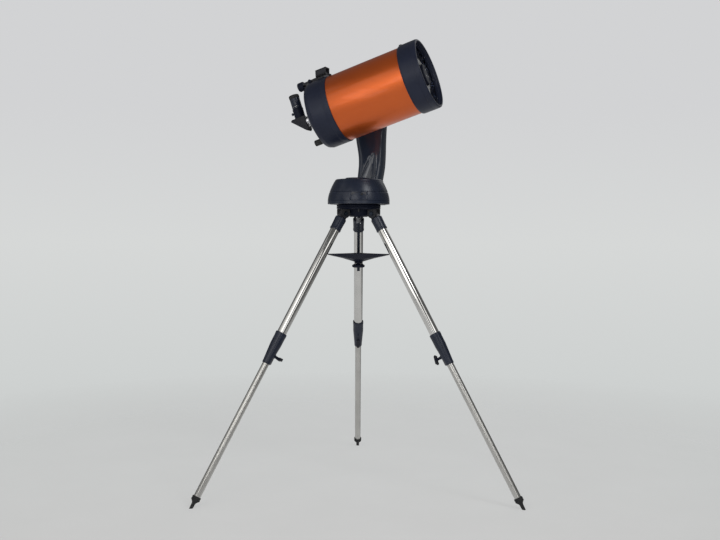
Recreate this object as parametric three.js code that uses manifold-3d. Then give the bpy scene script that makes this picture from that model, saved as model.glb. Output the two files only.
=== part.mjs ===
// A catadioptric telescope on a single-arm motorised altazimuth mount and a folding steel tripod.
// Millimetres, +Z up. The origin is on the floor, at the centre of the footprint's bounding box.
import * as THREE from "three";
import { mergeVertices } from "three/addons/utils/BufferGeometryUtils.js";
import Module from "manifold-3d";

const wasm = await Module();
wasm.setup();

// ---- Driving dimensions -------------------------------------------------------------------------

const ROUND = 32; // sides of the tube and the base
const SIDES = 16; // sides of the smaller round pieces
const GAP = 0.3; // clearance between touching pieces
const RUN = 0.35; // radial clearance of a turning or sliding fit

// Pose of the mount: the tube's direction seen from above, and its height above the horizon.
const YAW = THREE.MathUtils.degToRad(-19.5);
const ALTITUDE = THREE.MathUtils.degToRad(18.3);

// Tripod
const FOOT_CIRCLE_R = 600;
const LEG_LINE = { r: 53, z: 936 }; // a point of the leg's axis, by its distance from the middle
const PIVOT_ALONG = 12; // the hinge is this far down the leg's axis from that point
const LEG_ANGLES = [90, 210, 330];
const UPPER_TUBE_R = 15.9;
const LOWER_TUBE_R = 11.1;
const TUBE_WALL = 1.4;
const SOCKET_R = 18.5;
const SOCKET_END = 64; // measured from the hinge down the leg, as are the next four
const CLAMP_START = 454;
const CLAMP_END = 565;
const LOWER_TUBE_TOP = 400;
const FOOT_LENGTH = 40;
const HEAD_R = 75;
const HEAD_TOP = 956.7;
const HEAD_UNDER = 940;
const TRAY_TOP = 791;
const TRAY_TIP_R = 116.5;

// Mount
const BASE_UNDER = 957.5;
const BASE_TOP = 1042;
const BASE_R = 105;
const BASE_TOP_R = 80;
const BASE_WALL = 3.5;
const ALT_AXIS_Z = 1295;
const ARM_HUB_R = 55;
const ARM_HUB_Y = 130; // centre plane of the arm at the altitude axis
const ARM_WALL = 11;
const ARM_SPLIT_Y = 112;
const PANEL_ANGLE = THREE.MathUtils.degToRad(-70.5);

// Optical tube, along its own X axis from the altitude axis towards the sky
const TUBE_OFFSET = -44; // optical axis from the azimuth axis, away from the arm
const TUBE_R = 112;
const TUBE_REAR = -53.5;
const TUBE_FRONT = 206;
const FRONT_CELL_R = 117.5;
const FRONT_RIM = 270.5;
const REAR_CELL_R = 114.8;
const REAR_FACE = -138.5;
const REAR_BOSS = -149.5;
const CORRECTOR_R = 103;
const BEND = -200; // where the diagonal turns the light
const BARREL_R = 15.9; // an inch-and-a-quarter barrel

// ---- Materials ----------------------------------------------------------------------------------

const paint = (color, roughness, metalness) =>
  new THREE.MeshStandardMaterial({ color, roughness, metalness });
const MAT = {
  orange: paint(0xc4561f, 0.35, 0.6),
  casting: paint(0x15171c, 0.5, 0.2),
  plastic: paint(0x14161b, 0.45, 0),
  rubber: paint(0x0c0d0f, 0.9, 0),
  steel: paint(0xb9b7b0, 0.22, 1),
  dullSteel: paint(0x8f8d86, 0.4, 1),
  chrome: paint(0xa8a9ac, 0.15, 1),
  bolt: paint(0x707278, 0.35, 1),
  glass: paint(0x9fb0ac, 0.05, 0),
  mirror: paint(0xe6e8ea, 0.03, 1),
  brass: paint(0xa88a45, 0.35, 1),
};

// ---- Solids -------------------------------------------------------------------------------------

// A closed three.js geometry as a manifold-3d solid, with its faces turned outwards.
function solid(geometry) {
  const bare = geometry.clone();
  for (const name of ["normal", "uv"]) bare.deleteAttribute(name);
  const merged = mergeVertices(bare, 1e-4);
  const vertProperties = merged.attributes.position.array;
  const triVerts = new Uint32Array(merged.index.array);
  const make = () => new wasm.Manifold(new wasm.Mesh({ numProp: 3, vertProperties, triVerts }));
  const made = make();
  if (made.volume() >= 0) return made;
  for (let i = 0; i < triVerts.length; i += 3) {
    [triVerts[i + 1], triVerts[i + 2]] = [triVerts[i + 2], triVerts[i + 1]];
  }
  return make();
}

function geometryOf(made) {
  const { numProp, numVert, vertProperties, triVerts } = made.getMesh();
  const position = new Float32Array(numVert * 3);
  for (let i = 0; i < numVert; i++) {
    position.set(vertProperties.subarray(i * numProp, i * numProp + 3), i * 3);
  }
  const geometry = new THREE.BufferGeometry();
  geometry.setAttribute("position", new THREE.BufferAttribute(position, 3));
  geometry.setIndex(new THREE.BufferAttribute(new Uint32Array(triVerts), 1));
  geometry.computeVertexNormals();
  return geometry;
}

const join = (...solids) => solids.reduce((a, b) => a.add(b));
const cut = (first, ...others) => others.reduce((a, b) => a.subtract(b), first);

const mesh = (name, made, material) => {
  const piece = new THREE.Mesh(geometryOf(made), material);
  piece.name = name;
  return piece;
};

// Moves a geometry so that its +Z axis points along `to`, then by `at`.
function placed(geometry, to = [0, 0, 1], at = [0, 0, 0]) {
  const turn = new THREE.Quaternion().setFromUnitVectors(
    new THREE.Vector3(0, 0, 1),
    new THREE.Vector3(...to).normalize(),
  );
  return geometry.applyQuaternion(turn).translate(...at);
}

// A solid of revolution about +Z. The profile is [radius, height] points.
function lathe(profile, segments = 48) {
  const points = profile.map(([r, z]) => new THREE.Vector2(r, z));
  return new THREE.LatheGeometry(points, segments).rotateX(Math.PI / 2);
}

const turned = (profile, segments, to, at) => solid(placed(lathe(profile, segments), to, at));

// A turned piece of the optical tube: the profile is [radius, place along the tube] points.
const turnedX = (profile, segments = ROUND, y = 0, z = 0) => turned(
  profile, segments, [1, 0, 0], [0, y, z],
);

// A cylinder or cone from height z0 to z1.
const rod = (r0, z0, z1, segments = 24, r1 = r0) => [[0, z0], [r0, z0], [r1, z1], [0, z1]];
const rodSolid = (r, z0, z1, segments, to, at) => turned(rod(r, z0, z1), segments, to, at);

// A pipe profile that closes on itself.
const pipe = (outer, inner, z0, z1) => [
  [inner, z0], [outer, z0], [outer, z1], [inner, z1], [inner, z0],
];

function box(x0, x1, y0, y1, z0, z1) {
  const size = new THREE.BoxGeometry(x1 - x0, y1 - y0, z1 - z0);
  return solid(size.translate((x0 + x1) / 2, (y0 + y1) / 2, (z0 + z1) / 2));
}

// An outline of [a, b] points pushed through `depth`.
function slab(outline, depth) {
  const drawn = outline instanceof THREE.Shape;
  const shape = drawn ? outline : new THREE.Shape(outline.map((p) => new THREE.Vector2(...p)));
  return new THREE.ExtrudeGeometry(shape, { depth, bevelEnabled: false, curveSegments: 6 });
}

// A slab whose outline lies in the XZ plane, spanning y0 to y1.
const slabXZ = (outline, y0, y1) => solid(slab(
  outline, y1 - y0,
).rotateX(Math.PI / 2).translate(0, y1, 0));

// A skin over rings of points, closed by a fan at each end.
function loft(rings) {
  const n = rings[0].length;
  const positions = rings.flat(2);
  const index = [];
  for (let k = 0; k + 1 < rings.length; k++) {
    for (let i = 0; i < n; i++) {
      const a = k * n + i;
      const b = k * n + ((i + 1) % n);
      index.push(a, b, b + n, a, b + n, a + n);
    }
  }
  for (const [ring, flip] of [[0, true], [rings.length - 1, false]]) {
    const centre = positions.length / 3;
    for (const axis of [0, 1, 2]) {
      positions.push(rings[ring].reduce((sum, p) => sum + p[axis], 0) / n);
    }
    for (let i = 0; i < n; i++) {
      const a = ring * n + i;
      const b = ring * n + ((i + 1) % n);
      index.push(centre, ...(flip ? [b, a] : [a, b]));
    }
  }
  const geometry = new THREE.BufferGeometry();
  geometry.setAttribute("position", new THREE.BufferAttribute(new Float32Array(positions), 3));
  geometry.setIndex(index);
  return solid(geometry);
}

// A rounded rectangle of the given half sizes, at height z.
function squircle(x, y, halfX, halfY, z, points = 18, power = 0.62) {
  return Array.from({ length: points }, (_, i) => {
    const a = (2 * Math.PI * i) / points;
    const round = (v) => Math.sign(v) * Math.abs(v) ** power;
    return [x + halfX * round(Math.cos(a)), y + halfY * round(Math.sin(a)), z];
  });
}

// Points of an arc in a profile, from angle a0 to a1 in degrees.
function arc(cx, cy, r, a0, a1, steps) {
  return Array.from({ length: steps + 1 }, (_, i) => {
    const a = THREE.MathUtils.degToRad(a0 + ((a1 - a0) * i) / steps);
    return [cx + r * Math.cos(a), cy + r * Math.sin(a)];
  });
}

// ---- Tripod -------------------------------------------------------------------------------------

const legRun = FOOT_CIRCLE_R - LEG_LINE.r;
const SPLAY = Math.atan2(legRun, LEG_LINE.z);
const LEG_LENGTH = Math.hypot(legRun, LEG_LINE.z) - PIVOT_ALONG; // hinge to foot tip
const PIVOT = {
  r: LEG_LINE.r + PIVOT_ALONG * Math.sin(SPLAY),
  z: LEG_LINE.z - PIVOT_ALONG * Math.cos(SPLAY),
};
const LUG_INNER = 10.4;
const LUG_OUTER = 16;
const LUG_R = 16;
const BOLT_R = 4;

// Turns a solid made in the plane of a leg, with +X outwards, to that leg's angle.
const towardsLeg = (made, degrees) => made.rotate([0, 0, degrees]);

function tripodHead() {
  const disc = turned(
    [
      [0, 915], [30, 915], [36, 920], [42, HEAD_UNDER], [HEAD_R - 3, HEAD_UNDER],
      [HEAD_R, HEAD_UNDER + 3], [HEAD_R, HEAD_UNDER + 7], [HEAD_R - 3, HEAD_TOP], [0, HEAD_TOP],
    ],
    28,
  );
  const lugOutline = [
    ...arc(PIVOT.r, PIVOT.z, LUG_R, 180, 360, 5),
    [PIVOT.r + LUG_R, HEAD_UNDER + 2],
    [PIVOT.r - LUG_R, HEAD_UNDER + 2],
  ];
  const lugs = LEG_ANGLES.flatMap((degrees) =>
    [-1, 1].map((side) => {
      const y0 = side < 0 ? -LUG_OUTER : LUG_INNER;
      return towardsLeg(slabXZ(lugOutline, y0, y0 + LUG_OUTER - LUG_INNER), degrees);
    }),
  );
  const holes = LEG_ANGLES.map((degrees) =>
    towardsLeg(rodSolid(BOLT_R + GAP, -30, 30, 12, [0, 1, 0], [PIVOT.r, 0, PIVOT.z]), degrees),
  );
  const rodHole = rodSolid(5.3, 900, 936, 16);
  return mesh("tripod_head", cut(join(disc, ...lugs), ...holes, rodHole), MAT.casting);
}

function pivotBolt(number, degrees) {
  const at = [PIVOT.r, 0, PIVOT.z];
  const across = [0, 1, 0];
  const shank = rodSolid(BOLT_R, -LUG_OUTER - 7, LUG_OUTER + 7, 12, across, at);
  const head = rodSolid(7, LUG_OUTER + GAP, LUG_OUTER + 5, 6, across, at);
  const nut = rodSolid(7, -LUG_OUTER - 6, -LUG_OUTER - GAP, 6, across, at);
  return mesh(`leg_pivot_bolt_${number}`, towardsLeg(join(shank, head, nut), degrees), MAT.bolt);
}

function centreRod() {
  return mesh("centre_rod", rodSolid(5, 731, 935, 16), MAT.dullSteel);
}

// A three-armed brace that pushes the legs apart and holds eyepieces.
function braceTray() {
  const half = 3;
  const waist = 34;
  const shape = new THREE.Shape();
  for (let i = 0; i < 3; i++) {
    const tip = THREE.MathUtils.degToRad(90 + 120 * i);
    const next = tip + (2 * Math.PI) / 3;
    const mid = tip + Math.PI / 3;
    const corner = (angle, side) => [
      TRAY_TIP_R * Math.cos(angle) - side * half * Math.sin(angle),
      TRAY_TIP_R * Math.sin(angle) + side * half * Math.cos(angle),
    ];
    if (i === 0) shape.moveTo(...corner(tip, -1));
    shape.lineTo(...corner(tip, 1));
    shape.quadraticCurveTo(waist * Math.cos(mid), waist * Math.sin(mid), ...corner(next, -1));
  }
  const plate = solid(slab(shape, 40).translate(0, 0, TRAY_TOP - 35));
  const under = turned(
    [[0, 756], [12, 756], [13, 766], [60, 777], [125, 787.5], [125, TRAY_TOP], [0, TRAY_TOP]], 24,
  );
  const hub = rodSolid(12, 756, TRAY_TOP, 20);
  const hole = rodSolid(5 + RUN, 740, 800, 16);
  return mesh("brace_tray", cut(join(plate.intersect(under), hub), hole), MAT.plastic);
}

function braceKnob() {
  const body = turned(
    [
      [5 + RUN, 743], [17, 743], [21.5, 746], [21.5, 751], [17, 755.5], [5 + RUN, 755.5],
      [5 + RUN, 743],
    ],
    20,
  );
  return mesh("brace_knob", body, MAT.plastic);
}

// A leg in its own frame: the hinge is the origin and the foot lies down -Z; +X faces away from the middle.
function legSocket(number) {
  const tongue = slabXZ([...arc(0, 0, 12, 0, 180, 6), [-14, -24], [14, -24]], -10, 10);
  const sleeve = turned(pipe(SOCKET_R, UPPER_TUBE_R + GAP, -SOCKET_END, -32), SIDES);
  const crown = turned(
    [[0, -34], [SOCKET_R, -34], [SOCKET_R, -26], [SOCKET_R - 4, -20], [0, -20]], SIDES,
  );
  const boltHole = rodSolid(BOLT_R + GAP, -30, 30, 12, [0, 1, 0]);
  return mesh(`leg_socket_${number}`, cut(join(tongue, sleeve, crown), boltHole), MAT.plastic);
}

function upperTube(number) {
  const inside = UPPER_TUBE_R - TUBE_WALL;
  return mesh(
    `upper_tube_${number}`, turned(pipe(UPPER_TUBE_R, inside, -CLAMP_START - 30, -34.3), SIDES),
    MAT.steel,
  );
}

const KNOB_DOWN = 532; // how far down the leg the clamp's knob sits
const KNOB_SEAT = 18; // how far from the leg's axis its boss ends

function legClamp(number) {
  const profile = [
    [LOWER_TUBE_R + RUN, -CLAMP_END], [13.5, -CLAMP_END], [15, -CLAMP_END + 22],
    [18.6, -CLAMP_START - 42],
    [18.9, -CLAMP_START - 3], [18.2, -CLAMP_START], [UPPER_TUBE_R + GAP, -CLAMP_START],
    [UPPER_TUBE_R + GAP, -CLAMP_START - 30.3], [LOWER_TUBE_R + RUN, -CLAMP_START - 30.3],
    [LOWER_TUBE_R + RUN, -CLAMP_END],
  ];
  const boss = rodSolid(7, 13, KNOB_SEAT, 10, [-1, 0, 0], [0, 0, -KNOB_DOWN]);
  const screwHole = rodSolid(3.4, 8, 30, 10, [-1, 0, 0], [0, 0, -KNOB_DOWN]);
  return mesh(
    `leg_clamp_${number}`, cut(join(turned(profile, SIDES), boss), screwHole), MAT.plastic,
  );
}

// The wing of the knob is turned by `twist` about its screw.
function clampKnob(number, twist) {
  const neck = turned([[0, 11.7], [3, 11.7], [3, 18.3], [5, 18.4], [4.4, 35], [0, 35]], 10);
  const wing = solid(
    slab(
      [[-17, 36], [-15, 33.4], [15, 33.4], [17, 36], [17, 40], [14, 42.5], [-14, 42.5], [-17, 40]],
      9,
    )
      .translate(0, 0, -4.5)
      .rotateX(Math.PI / 2),
  );
  const knob = join(neck, wing).rotate([0, 0, twist]).rotate([0, -90, 0]).translate([
    0, 0, -KNOB_DOWN,
  ]);
  return mesh(`clamp_knob_${number}`, knob, MAT.plastic);
}

function lowerTube(number) {
  const end = LEG_LENGTH - FOOT_LENGTH + 12;
  return mesh(
    `lower_tube_${number}`,
    turned(pipe(LOWER_TUBE_R, LOWER_TUBE_R - TUBE_WALL, -end, -LOWER_TUBE_TOP), SIDES),
    MAT.dullSteel,
  );
}

function foot(number) {
  const top = -LEG_LENGTH + FOOT_LENGTH;
  const socket = LOWER_TUBE_R + GAP;
  const profile = [
    [0, -LEG_LENGTH - 6], [5.2, -LEG_LENGTH - 6], [5.8, top - 22], [8, top - 19], [14, top - 13],
    [14.2, top - 2],
    [13, top], [socket, top], [socket, top - 12.3], [0, top - 12.3],
  ];
  // The tip is worn flat where it meets the floor, which is tilted by the leg's splay in this frame.
  const floor = new THREE.BoxGeometry(80, 80, 30).translate(0, 0, -15).rotateY(SPLAY).translate(
    0, 0, -LEG_LENGTH,
  );
  return mesh(`foot_${number}`, cut(turned(profile, SIDES), solid(floor)), MAT.rubber);
}

const WING_TWIST = [0, 90, 25];

function leg(index) {
  const number = index + 1;
  const swing = new THREE.Group();
  swing.position.set(PIVOT.r, 0, PIVOT.z);
  swing.rotation.y = -SPLAY;
  swing.add(
    legSocket(number), upperTube(number), legClamp(number), clampKnob(number, WING_TWIST[index]),
  );
  swing.add(lowerTube(number), foot(number));
  const turn = new THREE.Group();
  turn.rotation.z = THREE.MathUtils.degToRad(LEG_ANGLES[index]);
  turn.add(swing);
  return turn;
}

function tripod() {
  const group = new THREE.Group();
  group.add(tripodHead(), centreRod(), braceTray(), braceKnob());
  LEG_ANGLES.forEach((degrees, i) => group.add(pivotBolt(i + 1, degrees), leg(i)));
  return group;
}

// ---- Mount --------------------------------------------------------------------------------------

// The base's side wall, from its lip to the top edge. It leans in as it rises.
function wallPoints(inset, z0, steps) {
  return Array.from({ length: steps + 1 }, (_, i) => {
    const t = i / steps;
    return [BASE_R - inset - (BASE_R - BASE_TOP_R) * t ** 1.7, z0 + (1038 - inset - z0) * t];
  });
}

const ARM_SECTIONS = [
  // height, forward shift, distance of the middle from the azimuth axis, width, thickness
  [1042.3, 6, 102, 86, 70],
  [1078, 9, 108, 89, 68.5],
  [1100, 10, 111, 90, 68],
  [1130, 8.5, 116, 93, 67],
  [1185, 2, 124, 104, 64],
  [1215, 0, 127, 109, 63],
  [1242, 0, ARM_HUB_Y, 110, 62],
  [ALT_AXIS_Z, 0, ARM_HUB_Y, 110, 62],
];

// The arm's outline, made smaller by `inset` all round, for its outside or its hollow.
function armBody(inset) {
  const rings = ARM_SECTIONS.map(([z, x, y, width, depth], i) =>
    squircle(x, y, width / 2 - inset, depth / 2 - inset, i === 0 ? z + inset : z),
  );
  const top = [25, 50, 70, 83].map((degrees) => THREE.MathUtils.degToRad(degrees));
  for (const a of top) {
    const reach = (ARM_HUB_R - inset) * Math.cos(a);
    const depth = (31 - inset) * (0.82 + 0.18 * Math.cos(a));
    rings.push(squircle(
      0, ARM_HUB_Y, reach, depth, ALT_AXIS_Z + (ARM_HUB_R - inset) * Math.sin(a),
    ));
  }
  return loft(rings);
}

// A pointed arch sunk into the arm's inner face, from the base up.
function armScoop() {
  const foot = ARM_SECTIONS[0][0];
  const rings = [[-2, 0, 33], [33, 3, 29], [63, 7, 20], [82, 11, 10], [92, 13, 1]];
  return loft(
    rings.map(([up, x, halfWidth]) => squircle(
      6 + x, 67.5 + 0.176 * up, halfWidth, 8, foot + up, 12, 1,
    )),
  );
}

const HAND_CONTROL = { width: 56, height: 150, depth: 22, sunk: 9 };
const CRADLE = { x: 5, y: 153.5, z: 1168, tilt: THREE.MathUtils.degToRad(-6.7) };

// Puts a geometry made about the hand control's middle into its cradle; its face looks along +Y.
function inCradle(geometry) {
  const { x, y, z, tilt } = CRADLE;
  return geometry.rotateX(tilt).translate(x, y, z);
}

function armShells() {
  const { width, height, depth, sunk } = HAND_CONTROL;
  const body = armBody(0);
  const room = (grow) => {
    const block = new THREE.BoxGeometry(width + grow, 2 * depth, height + grow);
    return solid(inCradle(block.translate(0, depth - sunk - grow / 2, 0)));
  };
  const pocket = body.intersect(room(8));
  const shell = cut(join(cut(body, armBody(ARM_WALL)), pocket), room(1.2));
  const shaftHole = rodSolid(12 + RUN, 80, 140, 24, [0, 1, 0], [0, 0, ALT_AXIS_Z]);
  const innerSide = box(-90, 90, 0, ARM_SPLIT_Y - GAP / 2, 1000, 1400);
  const outerSide = box(-90, 90, ARM_SPLIT_Y + GAP / 2, 200, 1000, 1400);
  return [
    mesh("arm_inner_shell", cut(shell.intersect(innerSide), shaftHole, armScoop()), MAT.plastic),
    mesh("arm_outer_shell", shell.intersect(outerSide), MAT.plastic),
  ];
}

function handControl() {
  const { width, height, depth, sunk } = HAND_CONTROL;
  const ring = (y, w, h) => squircle(0, 0, w / 2, h / 2, y, 24, 0.4).map(([a, b, c]) => [a, c, b]);
  const back = -sunk;
  const front = back + depth;
  const shape = loft([
    ring(back, width - 6, height - 6),
    ring(back + 4, width, height),
    ring(front - 5, width, height),
    ring(front, width - 8, height - 8),
  ]);
  const made = geometryOf(shape);
  const keys = new THREE.BoxGeometry(width - 16, 5, 84).translate(0, front + 0.5, -24);
  const keyWell = new THREE.BoxGeometry(width - 15.2, 5.2, 84.8).translate(0, front - 0.3, -24);
  return [
    mesh("hand_control", cut(solid(inCradle(made)), solid(inCradle(keyWell))), MAT.plastic),
    mesh("hand_control_keypad", solid(inCradle(keys)), MAT.rubber),
  ];
}

const COVER = { y: -14, r: 40 };

function baseShell() {
  const bowl = turned(
    [
      [0, BASE_UNDER], [BASE_R, BASE_UNDER], [BASE_R, 968], ...wallPoints(0, 969, 3),
      [76, BASE_TOP - 0.6], [70, BASE_TOP], [0, BASE_TOP],
    ],
    ROUND,
  );
  const shoulder = loft([
    squircle(1, 93, 60, 44, BASE_UNDER),
    squircle(2, 95, 56, 43, 990),
    squircle(4, 99, 49, 39, 1025),
    squircle(6, 102, 43.5, 35.5, BASE_TOP),
  ]);
  const hollow = turned(
    [[0, BASE_UNDER - 1], [
      BASE_R - BASE_WALL, BASE_UNDER - 1,
    ], [BASE_R - BASE_WALL, 968], ...wallPoints(BASE_WALL, 969, 3),
      [70, BASE_TOP - BASE_WALL - 0.5], [0, BASE_TOP - BASE_WALL - 0.5]],
    ROUND,
  );
  const coverHole = rodSolid(COVER.r - 4 + GAP, 1030, 1050, 36, [0, 0, 1], [0, COVER.y, 0]);
  const window = solid(new THREE.BoxGeometry(
    20, PANEL.width + 0.6, PANEL.height + 0.6,
  ).translate(103, 0, PANEL.z).rotateZ(PANEL_ANGLE));
  return mesh("base_shell", cut(join(bowl, shoulder), hollow, coverHole, window), MAT.plastic);
}

const PANEL = { width: 50, height: 27, z: 982.5, radius: 94.5 };

function portPanel() {
  const plate = new THREE.BoxGeometry(
    3, PANEL.width, PANEL.height,
  ).translate(PANEL.radius, 0, PANEL.z);
  const jackHole = placed(lathe(rod(3.2, -5, 5), 12), [1, 0, 0], [PANEL.radius, 15, PANEL.z - 5]);
  const sockets = [-16, -3].map((y) => new THREE.BoxGeometry(8, 9, 7).translate(
    PANEL.radius, y, PANEL.z - 6,
  ));
  const made = cut(solid(plate), solid(jackHole), ...sockets.map(solid));
  return mesh(
    "port_panel", made.rotate([0, 0, THREE.MathUtils.radToDeg(PANEL_ANGLE)]), MAT.plastic,
  );
}

function powerSwitch() {
  const key = new THREE.BoxGeometry(3.4, 8, 5).translate(
    PANEL.radius + 3.5, 10, PANEL.z + 6,
  ).rotateZ(PANEL_ANGLE);
  return mesh("power_switch", solid(key), MAT.rubber);
}

function batteryCover() {
  const { r, y } = COVER;
  const lid = turned(
    [
      [0, 1034], [r - 4, 1034], [r - 4, BASE_TOP + GAP], [r, BASE_TOP + GAP], [r, 1044.5],
      [r - 2, 1046], [0, 1046],
    ],
    36, [0, 0, 1], [0, y, 0],
  );
  return mesh("battery_cover", lid, MAT.plastic);
}

function azimuthPlate() {
  const profile = [
    [0, 957], [70, 957], [70, 959.5], [97, 959.5], [97, 965], [22, 965], [22, 969.6], [12, 969.6],
    [12, 1012], [0, 1012],
  ];
  return mesh("azimuth_plate", turned(profile, 28), MAT.casting);
}

// A toothed disc of `teeth` teeth about +Z.
function wheel(name, teeth, radius, bore, thickness, turn) {
  const shape = new THREE.Shape();
  for (let i = 0; i < teeth; i++) {
    for (const [share, r] of [
      [-0.25, radius - 2], [-0.12, radius], [0.12, radius], [0.25, radius - 2],
    ]) {
      const a = (2 * Math.PI * (i + share)) / teeth;
      const place = [r * Math.cos(a), r * Math.sin(a)];
      if (i === 0 && share === -0.25) shape.moveTo(...place);
      else shape.lineTo(...place);
    }
  }
  const disc = solid(turn(slab(shape, thickness)));
  const hole = solid(turn(lathe(rod(bore, -5, thickness + 5), 24)));
  return mesh(name, cut(disc, hole), MAT.brass);
}

const azimuthWheel = () => wheel("azimuth_wheel", 24, 58, 12.3, 6, (g) => g.translate(0, 0, 970));

function azimuthDrive() {
  const worm = rodSolid(6.5, -30, 24, 12, [1, 0, 0], [0, -65.5, 973]);
  const motor = rodSolid(11, -62, -26, 16, [1, 0, 0], [0, -58, 990]);
  const gearbox = box(-32, -24, -74, -54, 966.5, 1003);
  return mesh("azimuth_drive", join(worm, motor, gearbox), MAT.dullSteel);
}

// The two pieces that turn with the tube inside the arm, in the tube's frame.
const ARM_FACE = ARM_HUB_Y - 31 - TUBE_OFFSET; // the arm's inner face, from the optical axis
const SADDLE_Y = { back: ARM_FACE - 1, front: ARM_FACE - 11 };

function altitudeShaft() {
  return mesh(
    "altitude_shaft", rodSolid(12, SADDLE_Y.back + GAP, 184, 24, [0, 1, 0]), MAT.dullSteel,
  );
}

const altitudeWheel = () =>
  wheel("altitude_wheel", 18, 40, 12.3, 7, (g) => g.rotateX(-Math.PI / 2).translate(0, 168, 0));

function mount() {
  const group = new THREE.Group();
  group.rotation.z = YAW;
  group.add(baseShell(), portPanel(), powerSwitch(), batteryCover(), azimuthDrive());
  group.add(...armShells(), ...handControl());
  const swing = new THREE.Group();
  swing.position.set(0, TUBE_OFFSET, ALT_AXIS_Z);
  swing.rotation.y = -ALTITUDE;
  swing.add(...opticalTube());
  group.add(swing);
  return group;
}

// ---- Optical tube -------------------------------------------------------------------------------

const BAR = { inner: 119, outer: 131.2, halfOuter: 22, halfInner: 18.7, rear: -72, front: 214 };

function saddle() {
  const disc = rodSolid(43, SADDLE_Y.front, SADDLE_Y.back, 36, [0, 1, 0]);
  const jaw = (side) => {
    const z = (v) => side * v;
    const root = SADDLE_Y.front + 1;
    const outline = [[z(22.5), root], [z(19.6), 121], [z(32), 121], [z(34), 124], [z(34), root]];
    return solid(slab(outline, 84).rotateY(-Math.PI / 2).translate(42, 0, 0));
  };
  const screwHole = rodSolid(3.4, -50, -10, 12, [0, 0, 1], [0, 126.5, 0]);
  return mesh("dovetail_saddle", cut(join(disc, jaw(1), jaw(-1)), screwHole), MAT.casting);
}

function saddleKnob() {
  const profile = [
    [0, -24], [3, -24], [3, -34.4], [4.5, -34.4], [4.5, -43.5], [9, -44.5], [9, -57.5], [7, -59],
    [0, -59],
  ];
  return mesh("saddle_knob", turned(profile, 20, [0, 0, 1], [0, 126.5, 0]), MAT.plastic);
}

function dovetailBar() {
  const { inner, outer, halfOuter, halfInner, rear, front } = BAR;
  const outline = [
    [-halfInner, inner], [halfInner, inner], [halfOuter, outer], [-halfOuter, outer],
  ];
  const bar = solid(slab(outline, front - rear).rotateY(Math.PI / 2).translate(rear, 0, 0));
  const pads = join(
    box(rear, -56, 110, inner + 1, -14, 14), box(204, front, 110, inner + 1, -14, 14),
  );
  const cells = join(
    turnedX([[0, rear - 5], [REAR_CELL_R + GAP, rear - 5], [REAR_CELL_R + GAP, 100], [0, 100]]),
    turnedX([[0, 100], [FRONT_CELL_R + GAP, 100], [FRONT_CELL_R + GAP, 300], [0, 300]]),
  );
  return mesh("dovetail_bar", join(bar, cut(pads, cells)), MAT.casting);
}

function mainTube() {
  return mesh(
    "main_tube", turnedX(pipe(TUBE_R, TUBE_R - 1.8, TUBE_REAR - 6, TUBE_FRONT + 6)), MAT.orange,
  );
}

function frontCell() {
  const lip = TUBE_R + GAP;
  const profile = [
    [lip, TUBE_FRONT], [113.6, TUBE_FRONT], [116.6, TUBE_FRONT + 3],
    [FRONT_CELL_R, TUBE_FRONT + 10],
    [FRONT_CELL_R, FRONT_RIM - 10], [116, FRONT_RIM - 2.5], [114.5, FRONT_RIM], [109.5, FRONT_RIM],
    [108.2, FRONT_RIM - 2],
    [107.6, 246], [100, 246], [100, 236], [106, 228], [106, TUBE_FRONT + 6.4],
    [lip, TUBE_FRONT + 6.4], [lip, TUBE_FRONT],
  ];
  return mesh("front_cell", turnedX(profile), MAT.casting);
}

function correctorPlate() {
  return mesh("corrector_plate", turnedX(pipe(CORRECTOR_R, 31, 246.4, 251.4)), MAT.glass);
}

function correctorRetainer() {
  return mesh("corrector_retainer", turnedX(pipe(107.2, 98.5, 251.8, 255)), MAT.plastic);
}

function secondaryCell() {
  const profile = [
    [0, 248], [25.5, 248], [30.6, 251.7], [36.5, 251.8], [36.5, 257], [34, 260], [24, 261.5],
    [0, 261.5],
  ];
  const flange = turnedX(pipe(34.5, 28, 242.6, 246), 28);
  return mesh(
    "secondary_cell", join(turnedX(profile, 28), turnedX(pipe(30.6, 27.3, 190, 252), 28), flange),
    MAT.plastic,
  );
}

function secondaryMirror() {
  return mesh("secondary_mirror", turnedX(rod(26.9, 239, 247.6), 28), MAT.mirror);
}

const FOCUS = { y: -10, z: -84 };

function rearCell() {
  const lip = TUBE_R + GAP;
  const profile = [
    [lip, TUBE_REAR], [REAR_CELL_R - 1, TUBE_REAR], [REAR_CELL_R, TUBE_REAR - 1.5],
    [REAR_CELL_R, REAR_FACE + 20],
    ...arc(REAR_CELL_R - 18, REAR_FACE + 18, 18, 0, -90, 3).slice(1), [76, REAR_FACE - 1],
    [70, REAR_BOSS], [16.6, REAR_BOSS],
    [16.6, REAR_BOSS + 12], [20.4, REAR_BOSS + 12], [20.4, REAR_FACE + 6], [94, REAR_FACE + 6],
    [107, REAR_FACE + 18], [107, TUBE_REAR - 6.4], [lip, TUBE_REAR - 6.4], [lip, TUBE_REAR],
  ];
  const shaftHole = rodSolid(3.4, -160, -110, 12, [1, 0, 0], [0, FOCUS.y, FOCUS.z]);
  return mesh("rear_cell", cut(turnedX(profile), shaftHole), MAT.casting);
}

function primaryBaffle() {
  return mesh("primary_baffle", turnedX(pipe(20, 18.4, REAR_BOSS + 12.4, 138), 24), MAT.plastic);
}

function primaryMirror() {
  const slide = 20 + RUN;
  const profile = [
    [slide, -122], [26, -122], [26, -112], [99, -112], [99, -94], [60, -97], [27, -98.5],
    [26, -98.5], [24, -62], [slide, -62], [slide, -122],
  ];
  return mesh("primary_mirror", turnedX(profile), MAT.mirror);
}

function focusKnob() {
  const profile = [
    [0, -172], [8, -172], [10.3, -169.5], [10.3, -146], [9, REAR_FACE - 2.5], [3, REAR_FACE - 2.5],
    [3, -124], [0, -124],
  ];
  return mesh("focus_knob", turnedX(profile, 20, FOCUS.y, FOCUS.z), MAT.rubber);
}

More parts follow.
